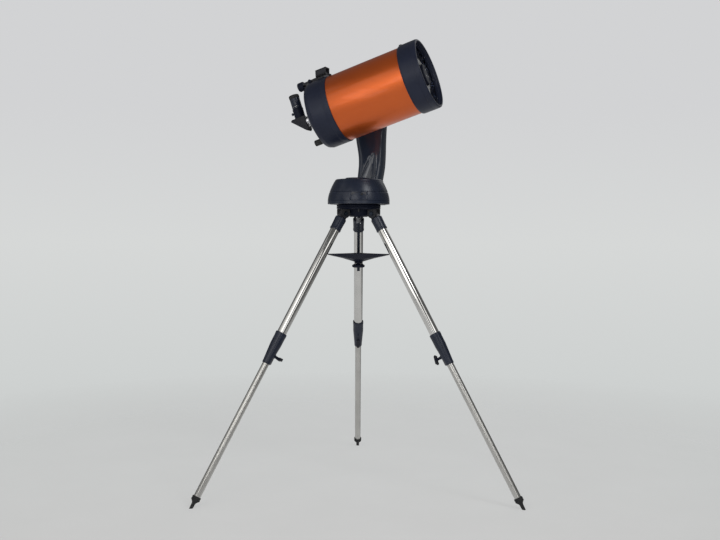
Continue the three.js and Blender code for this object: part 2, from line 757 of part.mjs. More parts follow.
function visualBack() {
  const bore = BARREL_R + RUN;
  const profile = [
    [bore, REAR_BOSS - GAP], [25, REAR_BOSS - GAP], [25, -156], [20.4, -158], [20, -169],
    [bore, -169], [bore, REAR_BOSS - GAP],
  ];
  const screwHole = rodSolid(2.4, 10, 30, 10, [0, 0, 1], [-163.5, 0, 0]);
  return mesh("visual_back", cut(turnedX(profile, 24), screwHole), MAT.chrome);
}

// A thumbscrew's profile, from its tip to its head, which starts at `seat`.
const thumbscrew = (start, seat) => [
  [0, start], [2, start], [2, seat], [4.6, seat + 0.3], [4.6, seat + 7], [0, seat + 7],
];

function visualBackScrew() {
  return mesh(
    "visual_back_screw", turned(thumbscrew(16.4, 20.6), 12, [0, 0, 1], [-163.5, 0, 0]), MAT.chrome,
  );
}

function diagonalBody() {
  const bore = BARREL_R + RUN;
  const housing = slabXZ(
    [
      [-177.5, 18.5], [-177.5, -26], [-182, -31.5], [-185, -31.5], [-229.5, 12], [-229.5, 14.5],
      [-225.5, 18.5],
    ],
    -19,
    19,
  );
  const nose = turnedX(pipe(BARREL_R, 13.6, -178, -152.5), 24);
  const holder = turned(rod(18, 17, 52), 24, [0, 0, 1], [BEND, 0, 0]);
  const lightUp = rodSolid(bore, 2, 60, 24, [0, 0, 1], [BEND, 0, 0]);
  const path = rodSolid(13.6, BEND, -150, 24, [1, 0, 0]);
  const screwHole = rodSolid(2.4, 10, 30, 10, [-1, 0, 0], [BEND, 0, 40]);
  return mesh("diagonal", cut(join(housing, nose, holder), path, lightUp, screwHole), MAT.plastic);
}

function diagonalScrew() {
  return mesh(
    "diagonal_screw", turned(thumbscrew(16.4, 18.6), 12, [-1, 0, 0], [BEND, 0, 40]), MAT.chrome,
  );
}

function eyepiece() {
  const profile = [[0, 24], [BARREL_R, 24], [BARREL_R, 52.5], [17.2, 52.5], [17.2, 89], [0, 89]];
  return mesh("eyepiece", turned(profile, 24, [0, 0, 1], [BEND, 0, 0]), MAT.plastic);
}

function eyecup() {
  const profile = [
    [10, 89.3], [17.8, 89.3], [18, 98], [16.5, 100.5], [13, 100.5], [10, 92], [10, 89.3],
  ];
  return mesh("eyecup", turned(profile, 24, [0, 0, 1], [BEND, 0, 0]), MAT.rubber);
}

function finderBracket() {
  const foot = box(-132, -78, -12.8, 12.8, 108, 116.2);
  const cell = turnedX([[0, -200], [REAR_CELL_R + GAP, -200], [REAR_CELL_R + GAP, -40], [0, -40]]);
  return mesh("finder_bracket", cut(foot, cell), MAT.plastic);
}

function finderBody() {
  const beam = slabXZ([[-158, 116.6], [-62, 116.6], [-61, 125], [-99, 125], [-158, 123.6]], -13, 13);
  const tail = turnedX(
    [[0, -174], [13, -174], [15.5, -171.5], [15.5, -154], [13, -151.5], [0, -151.5]], 24, 0, 117.5,
  );
  const hood = slabXZ([[-61.5, 124], [-54.5, 146.5], [-93.5, 147], [-99.5, 124]], -18, 18);
  const sight = (x0, x1) => box(x0, x1, -14.5, 14.5, 129, 143.5);
  const knobHole = rodSolid(2.4, 9, 20, 10, [0, -1, 0], [-124, 0, 121.2]);
  return mesh(
    "finder", cut(join(beam, tail, hood), sight(-80, -50), sight(-110, -83), knobHole), MAT.plastic,
  );
}

function finderKnob() {
  const profile = [[0, 10], [2, 10], [2, 13.2], [5.6, 13.4], [5.6, 19], [0, 19]];
  return mesh("finder_knob", turned(profile, 16, [0, -1, 0], [-124, 0, 121.2]), MAT.plastic);
}

function opticalTube() {
  return [
    altitudeShaft(), altitudeWheel(), saddle(), saddleKnob(), dovetailBar(),
    mainTube(), frontCell(), correctorPlate(), correctorRetainer(), secondaryCell(),
    secondaryMirror(), rearCell(), primaryBaffle(), primaryMirror(), focusKnob(),
    visualBack(), visualBackScrew(), diagonalBody(), diagonalScrew(), eyepiece(), eyecup(),
    finderBracket(), finderBody(), finderKnob(),
  ];
}

// ---- Assembly -----------------------------------------------------------------------------------

const telescope = new THREE.Group();
const stand = tripod();
stand.add(azimuthPlate(), azimuthWheel());
telescope.add(stand, mount());

// Stand the feet on the floor, with the origin under the middle of the bounding box.
const bounds = new THREE.Box3().setFromObject(telescope, true);
const centre = bounds.getCenter(new THREE.Vector3());
const origin = new THREE.Vector3(centre.x, centre.y, bounds.min.z);
telescope.children.forEach((child) => child.position.sub(origin));

export default telescope;
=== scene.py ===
"""Looks of a Schmidt-Cassegrain telescope on a single-arm mount and a steel tripod."""

import math

import bmesh
import bpy
from mathutils import Matrix, Vector


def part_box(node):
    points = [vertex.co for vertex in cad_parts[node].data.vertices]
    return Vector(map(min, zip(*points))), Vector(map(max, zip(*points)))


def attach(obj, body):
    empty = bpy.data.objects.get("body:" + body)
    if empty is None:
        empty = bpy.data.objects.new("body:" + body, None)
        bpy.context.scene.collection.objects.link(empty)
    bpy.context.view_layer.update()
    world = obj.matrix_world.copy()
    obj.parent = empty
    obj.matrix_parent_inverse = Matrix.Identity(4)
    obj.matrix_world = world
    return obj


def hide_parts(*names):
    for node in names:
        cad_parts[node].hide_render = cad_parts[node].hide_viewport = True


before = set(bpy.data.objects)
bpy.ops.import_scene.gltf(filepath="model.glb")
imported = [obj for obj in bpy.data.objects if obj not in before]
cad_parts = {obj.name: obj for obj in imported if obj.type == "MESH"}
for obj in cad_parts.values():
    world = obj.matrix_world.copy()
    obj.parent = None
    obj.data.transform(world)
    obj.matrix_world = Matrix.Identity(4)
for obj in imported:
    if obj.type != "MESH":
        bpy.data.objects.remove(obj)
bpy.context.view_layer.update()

# ---- Shared places, in millimetres from the azimuth axis at floor level -------------------------

MM = 0.001
rod_low, rod_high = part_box("centre_rod")
AXIS = (rod_low + rod_high) / 2
YAW = math.radians(-19.5)
ALTITUDE = math.radians(18.3)
ALT_AXIS_Z = 1295
TUBE_OFFSET = -44
FOOT_CIRCLE_R = 600
LEG_LINE_R = 53
LEG_LINE_Z = 936
PIVOT_ALONG = 12
LEG_ANGLES = (90, 210, 330)

run = FOOT_CIRCLE_R - LEG_LINE_R
SPLAY = math.atan2(run, LEG_LINE_Z)
LEG_LENGTH = math.hypot(run, LEG_LINE_Z) - PIVOT_ALONG
PIVOT_R = LEG_LINE_R + PIVOT_ALONG * math.sin(SPLAY)
PIVOT_Z = LEG_LINE_Z - PIVOT_ALONG * math.cos(SPLAY)

IN_STAND = Matrix.Translation((AXIS.x, AXIS.y, 0)) @ Matrix.Scale(MM, 4)
IN_MOUNT = IN_STAND @ Matrix.Rotation(YAW, 4, "Z")
IN_TUBE = (
    IN_MOUNT
    @ Matrix.Translation((0, TUBE_OFFSET, ALT_AXIS_Z))
    @ Matrix.Rotation(-ALTITUDE, 4, "Y")
)


def spin(degrees):
    """A turn about +Z."""
    return Matrix.Rotation(math.radians(degrees), 4, "Z")


def polar(radius, degrees):
    """A point in a plane at a radius and an angle."""
    angle = math.radians(degrees)
    return radius * math.cos(angle), radius * math.sin(angle)


def in_leg(index):
    """From a leg's own frame, where the hinge is the origin and the foot is down -Z."""
    return (
        IN_STAND
        @ spin(LEG_ANGLES[index])
        @ Matrix.Translation((PIVOT_R, 0, PIVOT_Z))
        @ Matrix.Rotation(-SPLAY, 4, "Y")
    )


def along(direction, at=(0, 0, 0)):
    """Turns +Z to point along direction, then moves the origin to at."""
    turn = Vector((0, 0, 1)).rotation_difference(Vector(direction).normalized())
    return Matrix.Translation(at) @ turn.to_matrix().to_4x4()


TO_X = along((1, 0, 0))
TO_Y = along((0, 1, 0))
ON_EDGE = Matrix.Rotation(math.pi / 2, 4, "X")

# ---- Materials ----------------------------------------------------------------------------------


def plug(output, node, socket):
    """Links an output to a named socket of a node."""
    node.id_data.links.new(output, node.inputs[socket])


def new_material(name):
    material = bpy.data.materials.new(name)
    material.use_nodes = True
    tree = material.node_tree
    return material, tree, tree.nodes["Principled BSDF"]


def noise(tree, scale, detail=4, rough=0.55, stretch=None, kind="ShaderNodeTexNoise"):
    """A noise texture in object space, with 1 unit = 1 m; stretch scales its axes."""
    where = tree.nodes.new("ShaderNodeTexCoord")
    texture = tree.nodes.new(kind)
    texture.inputs["Scale"].default_value = scale
    if kind == "ShaderNodeTexNoise":
        texture.inputs["Detail"].default_value = detail
        texture.inputs["Roughness"].default_value = rough
    source = where.outputs["Object"]
    if stretch:
        mapping = tree.nodes.new("ShaderNodeMapping")
        mapping.inputs["Scale"].default_value = stretch
        plug(source, mapping, "Vector")
        source = mapping.outputs["Vector"]
    plug(source, texture, "Vector")
    return texture.outputs[0]


def ramp(tree, value, stops):
    """A colour ramp from (position, colour) stops; a colour is a number or three numbers."""
    node = tree.nodes.new("ShaderNodeValToRGB")
    elements = node.color_ramp.elements
    while len(elements) < len(stops):
        elements.new(0.5)
    for element, (position, colour) in zip(elements, stops):
        element.position = position
        level = (colour,) * 3 if isinstance(colour, (int, float)) else colour
        element.color = (*level, 1)
    plug(value, node, "Fac")
    return node.outputs["Color"]


def bump(tree, shader, height, strength, distance=0.0005):
    node = tree.nodes.new("ShaderNodeBump")
    node.inputs["Strength"].default_value = strength
    node.inputs["Distance"].default_value = distance
    plug(height, node, "Height")
    plug(node.outputs["Normal"], shader, "Normal")


def edge_wear(tree, low, high):
    """1 on convex edges and 0 elsewhere, from how pointed the surface is."""
    geometry = tree.nodes.new("ShaderNodeNewGeometry")
    return ramp(tree, geometry.outputs["Pointiness"], [(low, 0.0), (high, 1.0)])


def mix(tree, factor, first, second):
    node = tree.nodes.new("ShaderNodeMix")
    node.data_type = "RGBA"
    for socket, value in ((6, first), (7, second)):
        if isinstance(value, tuple):
            node.inputs[socket].default_value = (*value, 1)
        else:
            tree.links.new(value, node.inputs[socket])
    if isinstance(factor, (int, float)):
        node.inputs[0].default_value = factor
    else:
        tree.links.new(factor, node.inputs[0])
    return node.outputs[2]


def calculate(tree, operation, *values):
    """The result of a math node; each value is a number or another node's output."""
    node = tree.nodes.new("ShaderNodeMath")
    node.operation = operation
    for socket, value in zip(node.inputs, values):
        if isinstance(value, (int, float)):
            socket.default_value = value
        else:
            tree.links.new(value, socket)
    return node.outputs[0]


def black_plastic(name, dark, light, rough, grain, strength, worn=0.16, specular=0.5):
    """Moulded or powder-coated black: fine grain, faint mottling and lighter, rubbed edges."""
    material, tree, shader = new_material(name)
    mottled = ramp(tree, noise(tree, 14, 4), [(0.3, dark), (0.72, light)])
    rubbed = mix(tree, edge_wear(tree, 0.53, 0.62), mottled, (worn, worn, worn * 1.1))
    plug(rubbed, shader, "Base Color")
    handled = ramp(tree, noise(tree, 9, 3, 0.5), [(0.3, rough - 0.02), (0.75, rough + 0.05)])
    plug(handled, shader, "Roughness")
    shader.inputs["Specular IOR Level"].default_value = specular
    bump(tree, shader, noise(tree, grain, 3), strength, 0.0003)
    return material


def orange_enamel():
    """Metallic enamel under a clear coat: fine flakes, faint drawn lines and light scuffs."""
    material, tree, shader = new_material("orange_enamel")
    flakes = noise(tree, 2600, 0, kind="ShaderNodeTexVoronoi")
    base = ramp(tree, noise(tree, 7, 5), [(0.3, (0.64, 0.112, 0.016)), (0.75, (0.70, 0.135, 0.022))])
    glitter = ramp(tree, flakes, [(0.0, (0.80, 0.22, 0.05)), (0.28, (0.62, 0.11, 0.016))])
    plug(mix(tree, 0.3, base, glitter), shader, "Base Color")
    shader.inputs["Metallic"].default_value = 0.72
    scuffs = ramp(tree, noise(tree, 14, 9, 0.7, (1, 1, 5)), [(0.35, 0.3), (0.7, 0.4)])
    plug(scuffs, shader, "Roughness")
    shader.inputs["Coat Weight"].default_value = 0.3
    shader.inputs["Coat Roughness"].default_value = 0.09
    bump(tree, shader, noise(tree, 420, 3), 0.02, 0.0003)
    return material


def steel(name, colour, low, high, lines, strength=0.05, anisotropic=0.0):
    """Drawn steel tube: long faint lines, fingerprints and small dull patches."""
    material, tree, shader = new_material(name)
    shade = ramp(
        tree,
        noise(tree, 16, 6, 0.6),
        [(0.25, tuple(c * 0.82 for c in colour)), (0.75, colour)],
    )
    plug(shade, shader, "Base Color")
    shader.inputs["Metallic"].default_value = 1.0
    smears = ramp(tree, noise(tree, 34, 8, 0.65), [(0.3, low), (0.75, high)])
    plug(smears, shader, "Roughness")
    shader.inputs["Anisotropic"].default_value = anisotropic
    bump(tree, shader, noise(tree, lines, 4, 0.6, (1, 1, 0.04)), strength, 0.0002)
    return material


def rubber():
    """Matt black rubber with a fine grain and a little dust."""
    colour, dusty = (0.012, 0.0125, 0.014), (0.045, 0.044, 0.042)
    material, tree, shader = new_material("black_rubber")
    dust = ramp(tree, noise(tree, 60, 8, 0.7), [(0.42, colour), (0.8, dusty)])
    plug(dust, shader, "Base Color")
    plug(ramp(tree, noise(tree, 30, 5), [(0.2, 0.7), (0.8, 0.92)]), shader, "Roughness")
    bump(tree, shader, noise(tree, 900, 3), 0.25, 0.0004)
    return material


def lens_glass():
    """Coated glass: its low index stands for the coating, with a trace of dust."""
    material, tree, shader = new_material("coated_glass")
    tint = ramp(tree, noise(tree, 5, 2), [(0.3, (0.93, 0.98, 0.96)), (0.7, (0.97, 0.96, 0.99))])
    plug(tint, shader, "Base Color")
    plug(ramp(tree, noise(tree, 90, 8), [(0.55, 0.015), (0.9, 0.09)]), shader, "Roughness")
    shader.inputs["Transmission Weight"].default_value = 1.0
    shader.inputs["IOR"].default_value = 1.2
    bump(tree, shader, noise(tree, 300, 2), 0.006, 0.0001)
    return material


def mirror_glass():
    material, tree, shader = new_material("mirror_glass")
    tone = ramp(tree, noise(tree, 12, 6), [(0.3, (0.86, 0.87, 0.88)), (0.7, (0.93, 0.94, 0.95))])
    plug(tone, shader, "Base Color")
    shader.inputs["Metallic"].default_value = 1.0
    plug(ramp(tree, noise(tree, 80, 8), [(0.5, 0.02), (0.85, 0.08)]), shader, "Roughness")
    return material


# A black's values: dark and light tone, roughness, grain scale, grain depth, rubbed edge, specular level.
# A steel's values: colour, least and most roughness, line scale, line depth, anisotropy.
MATERIALS = {
    "orange": orange_enamel(),
    "casting": black_plastic(
        "black_casting", (0.014, 0.0175, 0.034), (0.020, 0.0245, 0.045), 0.34, 520, 0.14, 0.07, 0.22
    ),
    "gloss": black_plastic(
        "black_moulding", (0.012, 0.017, 0.032), (0.017, 0.023, 0.042), 0.27, 700, 0.05, 0.06, 0.4
    ),
    # The arm's black: glossier, and lighter than the other blacks. The lighter base colour is painted light,
    # making up for the tube's shade on the arm.
    "polished_painted_light": black_plastic(
        "black_polished_painted_light", (0.024, 0.032, 0.052), (0.029, 0.038, 0.060), 0.15, 700, 0.03, 0.09, 0.7
    ),
    "matt": black_plastic(
        "black_fitting", (0.007, 0.009, 0.019), (0.011, 0.0135, 0.026), 0.42, 800, 0.16, 0.04, 0.1
    ),
    # The darkest black: the baffle tube's blackened finish, and painted shade on the sheets in the socket
    # mouths and the block in the finder's hood.
    "inside": black_plastic(
        "blackened_and_painted_shade", (0.004, 0.0045, 0.0065), (0.006, 0.007, 0.0095), 0.6, 500, 0.3, 0.01, 0.15
    ),
    "steel": steel("bright_steel", (0.74, 0.73, 0.70), 0.06, 0.12, 520, 0.002),
    "dull_steel": steel("dull_steel", (0.60, 0.59, 0.56), 0.26, 0.38, 420, 0.02, 0.3),
    "dark_steel": steel("blackened_steel", (0.045, 0.055, 0.075), 0.28, 0.42, 420, 0.12),
    "chrome": steel("chrome_trim", (0.7, 0.7, 0.72), 0.06, 0.18, 500, 0.03),
    "brass": steel("machined_brass", (0.62, 0.45, 0.17), 0.24, 0.42, 260, 0.12),
    "rubber": rubber(),
    "glass": lens_glass(),
    "mirror": mirror_glass(),
}

# ---- Mesh building ------------------------------------------------------------------------------


def mesh_of(bm, name):
    mesh = bpy.data.meshes.new(name)
    bm.to_mesh(mesh)
    bm.free()
    return mesh


def added(name, data):
    """A new object in the scene."""
    thing = bpy.data.objects.new(name, data)
    bpy.context.scene.collection.objects.link(thing)
    return thing


def add_piece(name, mesh, body, material, replaces=(), sharp=32):
    """Puts a finished mesh in the scene, riding on a body and standing for CAD nodes."""
    mesh.name = name
    piece = added(name, mesh)
    mesh.materials.clear()
    mesh.materials.append(MATERIALS[material])
    mesh.polygons.foreach_set("use_smooth", [True] * len(mesh.polygons))
    mesh.set_sharp_from_angle(angle=math.radians(sharp))
    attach(piece, body)
    if replaces:
        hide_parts(*replaces)
    return piece


def soften(points, radius, steps=3, closed=False):
    """Rounds the corners of an outline. A point may carry its own radius as a third number."""
    count = len(points)
    out = []
    for i, point in enumerate(points):
        here = Vector(point[:2])
        own = point[2] if len(point) > 2 else radius
        if own <= 0 or (not closed and i in (0, count - 1)):
            out.append(here)
            continue
        before = Vector(points[(i - 1) % count][:2]) - here
        after = Vector(points[(i + 1) % count][:2]) - here
        if before.length < 1e-6 or after.length < 1e-6:
            out.append(here)
            continue
        turn = before.angle(after, 0.0)
        if turn > math.radians(176) or turn < 0.02:
            out.append(here)
            continue
        reach = min(own / math.tan(turn / 2), 0.45 * before.length, 0.45 * after.length)
        start = here + before.normalized() * reach
        end = here + after.normalized() * reach
        for k in range(steps + 1):
            t = k / steps
            out.append(start.lerp(here, t).lerp(here.lerp(end, t), t))
    return out


def revolve(profile, segments, radius_at=None):
    """A bmesh turned about +Z from [radius, height] points; ends on the axis close in a fan.
    radius_at(angle, point) may change a radius, for grips and ribs."""
    bm = bmesh.new()
    rings = []
    for point in profile:
        if point[0] < 1e-6:
            rings.append([bm.verts.new((0, 0, point[1]))])
            continue
        ring = []
        for i in range(segments):
            angle = 2 * math.pi * i / segments
            r = radius_at(angle, point) if radius_at else point[0]
            ring.append(bm.verts.new((r * math.cos(angle), r * math.sin(angle), point[1])))
        rings.append(ring)
    for low, high in zip(rings, rings[1:]):
        if len(low) == 1 and len(high) == 1:
            continue
        for i in range(segments):
            j = (i + 1) % segments
            if len(low) == 1:
                bm.faces.new((low[0], high[j], high[i]))
            elif len(high) == 1:
                bm.faces.new((low[i], low[j], high[0]))
            else:
                bm.faces.new((low[i], low[j], high[j], high[i]))
    return bm


def finished(bm, matrix):
    """The mesh of a bmesh, moved into the row frame with its faces turned out."""
    bmesh.ops.remove_doubles(bm, verts=bm.verts, dist=1e-5)
    bmesh.ops.recalc_face_normals(bm, faces=bm.faces)
    bmesh.ops.transform(bm, matrix=matrix, verts=bm.verts)
    return mesh_of(bm, "piece")


def lathe(profile, segments, radius=0.5, radius_at=None):
    """A bmesh turned about +Z from a profile with softened corners."""
    return revolve(soften(profile, radius), segments, radius_at)


def sleeve_bm(outline, segments, radius):
    """A hollow turned bmesh, from an outline that goes round and ends on its first corner."""
    return revolve([*soften(outline, radius, closed=True), Vector(outline[0])], segments)


def turned(name, profile, matrix, body, material, replaces=(), segments=72, radius=0.5, ring=False,
           radius_at=None):
    """A lathe-turned piece with softened corners. ring=True closes the profile on itself."""
    soft = soften(profile, radius, closed=ring)
    if ring:
        soft.append(soft[0])
    return solid_piece(name, revolve(soft, segments, radius_at), matrix, body, material, replaces)


def slab_bm(outline, low, high, bevel, segments=3):
    """An outline of [x, y] points pushed from z=low to z=high, with bevelled edges."""
    bm = bmesh.new()
    bottom = [bm.verts.new((x, y, low)) for x, y in outline]
    top = [bm.verts.new((x, y, high)) for x, y in outline]
    bm.faces.new(bottom[::-1])
    bm.faces.new(top)
    count = len(outline)
    for i in range(count):
        j = (i + 1) % count
        bm.faces.new((bottom[i], bottom[j], top[j], top[i]))
    if bevel:
        edges = [e for e in bm.edges if e.calc_face_angle(0) > math.radians(25)]
        bmesh.ops.bevel(
            bm, geom=edges, offset=bevel, segments=segments, profile=0.6, affect="EDGES",
            clamp_overlap=True,
        )
    return bm


def box_bm(low, high, bevel):
    x0, y0, z0 = low
    x1, y1, z1 = high
    return slab_bm([(x0, y0), (x1, y0), (x1, y1), (x0, y1)], z0, z1, bevel)


def moved(bm, matrix):
    bmesh.ops.transform(bm, matrix=matrix, verts=bm.verts)
    return bm


def on_edge(outline, low, high, bevel, segments=3):
    """A slab with its outline in the XZ plane."""
    return moved(slab_bm(outline, low, high, bevel, segments), ON_EDGE)


def joined(*parts):
    """One bmesh holding several bodies."""
    whole = bmesh.new()
    for part in parts:
        mesh = mesh_of(part, "part")
        whole.from_mesh(mesh)
        bpy.data.meshes.remove(mesh)
    return whole


def solid_piece(name, bm, matrix, body, material, replaces=(), sharp=32):
    return add_piece(name, finished(bm, matrix), body, material, replaces, sharp)


def cut_out(piece, tool):
    """Cuts a closed tool, a bmesh in the row frame, out of a piece."""
    bmesh.ops.recalc_face_normals(tool, faces=tool.faces)
    cutter = added("tool", mesh_of(tool, "tool"))
    modifier = piece.modifiers.new("cut", "BOOLEAN")
    modifier.operation = "DIFFERENCE"
    modifier.solver = "EXACT"
    modifier.object = cutter
    bpy.context.view_layer.update()
    evaluated = piece.evaluated_get(bpy.context.evaluated_depsgraph_get())
    result = bpy.data.meshes.new_from_object(evaluated)
    piece.modifiers.remove(modifier)
    old = piece.data
    piece.data = result
    result.name = old.name
    bpy.data.meshes.remove(old)
    bpy.data.objects.remove(cutter)
    result.set_sharp_from_angle(angle=math.radians(32))


def grid_skin(rows):
    """A closed bmesh over rows of points that each go all the way round."""
    bm = bmesh.new()
    rings = [[bm.verts.new(p) for p in row] for row in rows]
    count = len(rings[0])
    for low, high in zip(rings, rings[1:]):
        for i in range(count):
            j = (i + 1) % count
            bm.faces.new((low[i], low[j], high[j], high[i]))
    bm.faces.new(rings[0][::-1])
    bm.faces.new(rings[-1])
    return bm


def ribs(count, depth, low, high):
    """radius_at for a grip with ribs on the band from height low to high."""

    def radius(angle, point):
        if not low < point[1] < high:
            return point[0]
        wave = 0.5 + 0.5 * math.cos(count * angle)
        return point[0] - depth * (1 - wave**0.6)

    return radius


# ---- Tripod -------------------------------------------------------------------------------------

LUG_INNER = 10.4
LUG_OUTER = 16
LUG_R = 16
UPPER_TUBE_R = 15.9
LOWER_TUBE_R = 11.1
TUBE_WALL = 1.4
CLAMP_START = 454
CLAMP_END = 565
FOOT_LENGTH = 40
KNOB_DOWN = 532
KNOB_TWISTS = (0, 90, 25)


def tripod_head():
    """A disc with a stepped rim, a boss for the rod, six hinge lugs and six webs underneath."""
    disc = lathe(
        [(0, 915), (29.5, 915), (35.5, 920), (41.5, 940), (62, 940), (64, 941.5), (72, 941.5), (75, 944),
         (75, 946.5), (73, 947.5), (73, 949), (75, 950), (75, 952), (73, 956.7), (0, 956.7)],
        96, 0.8,
    )
    arc = [(PIVOT_R + x, PIVOT_Z + z) for x, z in (polar(LUG_R, a) for a in range(180, 361, 12))]
    outline = [*arc, (PIVOT_R + LUG_R, 941), (PIVOT_R - LUG_R, 941)]
    lugs = [
        moved(slab_bm(outline, low, high, 0.8), spin(degrees) @ ON_EDGE)
        for degrees in LEG_ANGLES
        for low, high in ((-LUG_OUTER, -LUG_INNER), (LUG_INNER, LUG_OUTER))
    ]
    webs = [moved(box_bm((28, -2, 931), (66, 2, 941), 0.6), spin(turn)) for turn in range(30, 390, 60)]
    whole = joined(disc, *lugs, *webs)
    solid_piece("tripod_head_casting", whole, IN_STAND, "stand", "matt", ["tripod_head"])


def hinge_bolts():
    hexagon = [polar(7, degrees) for degrees in range(0, 360, 60)]
    for index, degrees in enumerate(LEG_ANGLES):
        turn = spin(degrees) @ along((0, 1, 0), (PIVOT_R, 0, PIVOT_Z))
        shank = lathe([(0, -22.6), (3.6, -22.6), (4, -22), (4, 22), (3.6, 22.6), (0, 22.6)], 32, 0.3)
        head = slab_bm(hexagon, LUG_OUTER + 0.8, LUG_OUTER + 5, 0.5)
        nut = slab_bm(hexagon, -LUG_OUTER - 6, -LUG_OUTER - 0.8, 0.5)
        washers = [
            lathe([(0, z), (7.4, z), (7.4, z + 0.7), (0, z + 0.7)], 32, 0.15)
            for z in (LUG_OUTER + 0.1, -LUG_OUTER - 0.8)
        ]
        solid_piece(
            f"hinge_bolt_{index + 1}", joined(shank, head, nut, *washers), IN_STAND @ turn, "stand",
            "dark_steel", [f"leg_pivot_bolt_{index + 1}"],
        )


def centre_rod():
    pitch = 1.5
    rows = []
    z = 731.6
    while z < 934:
        rows += [(4.55, z), (4.95, z + pitch * 0.45), (4.95, z + pitch * 0.6)]
        z += pitch
    profile = [(0, 731), (4, 731), *rows, (4.6, 935), (0, 935)]
    turned("threaded_rod", profile, IN_STAND, "stand", "dark_steel", ["centre_rod"], 40, 0)
    spring = []
    turns, wire = 5.5, 0.9
    for k in range(int(turns * 28) + 1):
        a = 2 * math.pi * k / 28
        centre = Vector((6.3 * math.cos(a), 6.3 * math.sin(a), 893 + 20 * k / (turns * 28)))
        outward = Vector((math.cos(a), math.sin(a), 0))
        spring.append([
            centre + wire * (outward * math.cos(t) + Vector((0, 0, 1)) * math.sin(t))
            for t in (2 * math.pi * i / 8 for i in range(8))
        ])
    solid_piece("rod_spring", grid_skin(spring), IN_STAND, "stand", "chrome")


def brace_tray():
    """Three lobes round a hub: flat on top with a low rim, and keeled underneath."""
    tip_r, tip_half, waist = 116.3, 3.0, 36.0
    outline = []
    for i in range(3):
        tip = math.radians(90 + 120 * i)
        after = tip + math.radians(120)
        middle = tip + math.radians(60)

        def corner(angle, side):
            return Vector((
                tip_r * math.cos(angle) - side * tip_half * math.sin(angle),
                tip_r * math.sin(angle) + side * tip_half * math.cos(angle),
            ))

        start, end = corner(tip, 1), corner(after, -1)
        bend = Vector((waist * math.cos(middle), waist * math.sin(middle)))
        outline.append(corner(tip, 0) * 1.002)
        for k in range(15):
            t = k / 14
            outline.append(start.lerp(bend, t).lerp(bend.lerp(end, t), t))

    def under(r):
        keel = [(0, 758.5), (14, 763), (60, 776.5), (118, 787.6)]
        for (r0, z0), (r1, z1) in zip(keel, keel[1:]):
            if r <= r1:
                return z0 + (z1 - z0) * (r - r0) / (r1 - r0)
        return keel[-1][1]

    shares = (0.12, 0.25, 0.4, 0.55, 0.7, 0.84, 0.94, 0.985, 1.0)
    rows = [[Vector((*(p * share), under((p * share).length))) for p in outline] for share in shares]
    rim = [(1.0, 790.3), (0.993, 791), (0.975, 791), (0.962, 789.6)]
    for share, z in [*rim, *((inner, 789.4) for inner in (0.8, 0.6, 0.4, 0.2))]:
        rows.append([Vector((*(p * share), z)) for p in outline])
    hub = lathe(
        [(0, 756.2), (11.6, 756.2), (12, 757), (13.5, 764), (16, 770), (16, 790.4), (13, 791), (0, 791)],
        64, 0.8,
    )
    whole = joined(grid_skin(rows), hub)
    solid_piece("brace_tray_moulding", whole, IN_STAND, "brace", "matt", ["brace_tray"], 40)


def brace_knob():
    turned(
        "brace_knob_grip",
        [(5.4, 743), (16.5, 743), (20.5, 745), (21.5, 747), (21.5, 750.5), (20, 752.5), (15, 755.2),
         (5.4, 755.5)],
        IN_STAND, "brace_knob", "matt", ["brace_knob"], 120, 0.8, True, ribs(20, 0.9, 744.6, 752),
    )


def leg_socket(number, place):
    """The black socket with the tongue that the hinge bolt goes through."""
    tongue_arc = [polar(11.8, a) for a in range(0, 181, 12)]
    tongue = on_edge([*tongue_arc, (-14, -25), (14, -25)], -10, 10, 0.9)
    sleeve = lathe(
        [(0, -17.2), (16, -17.2), (19.3, -19.2), (19.4, -24), (18.6, -42), (18.4, -58), (19.1, -59),
         (19.1, -63), (18.4, -64), (16.2, -64), (16.2, -40), (0, -40)],
        72, 0.8,
    )
    solid_piece(
        f"socket_{number}_moulding", joined(tongue, sleeve), place, f"leg_{number}", "gloss",
        [f"leg_socket_{number}"],
    )


def upper_tube(number, place):
    inner = UPPER_TUBE_R - TUBE_WALL
    turned(
        f"upper_leg_{number}",
        [(inner, -CLAMP_START - 30), (UPPER_TUBE_R, -CLAMP_START - 30), (UPPER_TUBE_R, -34.3),
         (inner, -34.3)],
        place, f"leg_{number}", "steel", [f"upper_tube_{number}"], 96, 0.3, True,
    )


def leg_clamp(number, place):
    """The tapered clamp round both tubes, with the knob's boss and a fin along its split."""
    clamp = sleeve_bm(
        [(11.6, -CLAMP_END), (13.3, -CLAMP_END), (13.8, -CLAMP_END + 2), (14.2, -CLAMP_END + 12),
         (15.2, -CLAMP_END + 24), (17.8, -CLAMP_START - 52), (18.6, -CLAMP_START - 42),
         (18.6, -CLAMP_START - 12), (19.1, -CLAMP_START - 11), (19.1, -CLAMP_START - 2),
         (18.6, -CLAMP_START), (16.3, -CLAMP_START), (16.3, -CLAMP_START - 30.3),
         (11.6, -CLAMP_START - 30.3)],
        72, 0.7,
    )
    boss = lathe([(0, 8), (8.4, 8), (7.2, 14), (7, 18), (3.6, 18), (3.6, 9), (0, 9)], 40, 0.4)
    boss = moved(boss, along((-1, 0, 0), (0, 0, -KNOB_DOWN)))
    split = box_bm((-17.5, -1.3, -562), (-12.6, 1.3, -490), 0.5)
    solid_piece(
        f"clamp_{number}_moulding", joined(clamp, boss, split), place, f"leg_{number}", "gloss",
        [f"leg_clamp_{number}"],
    )


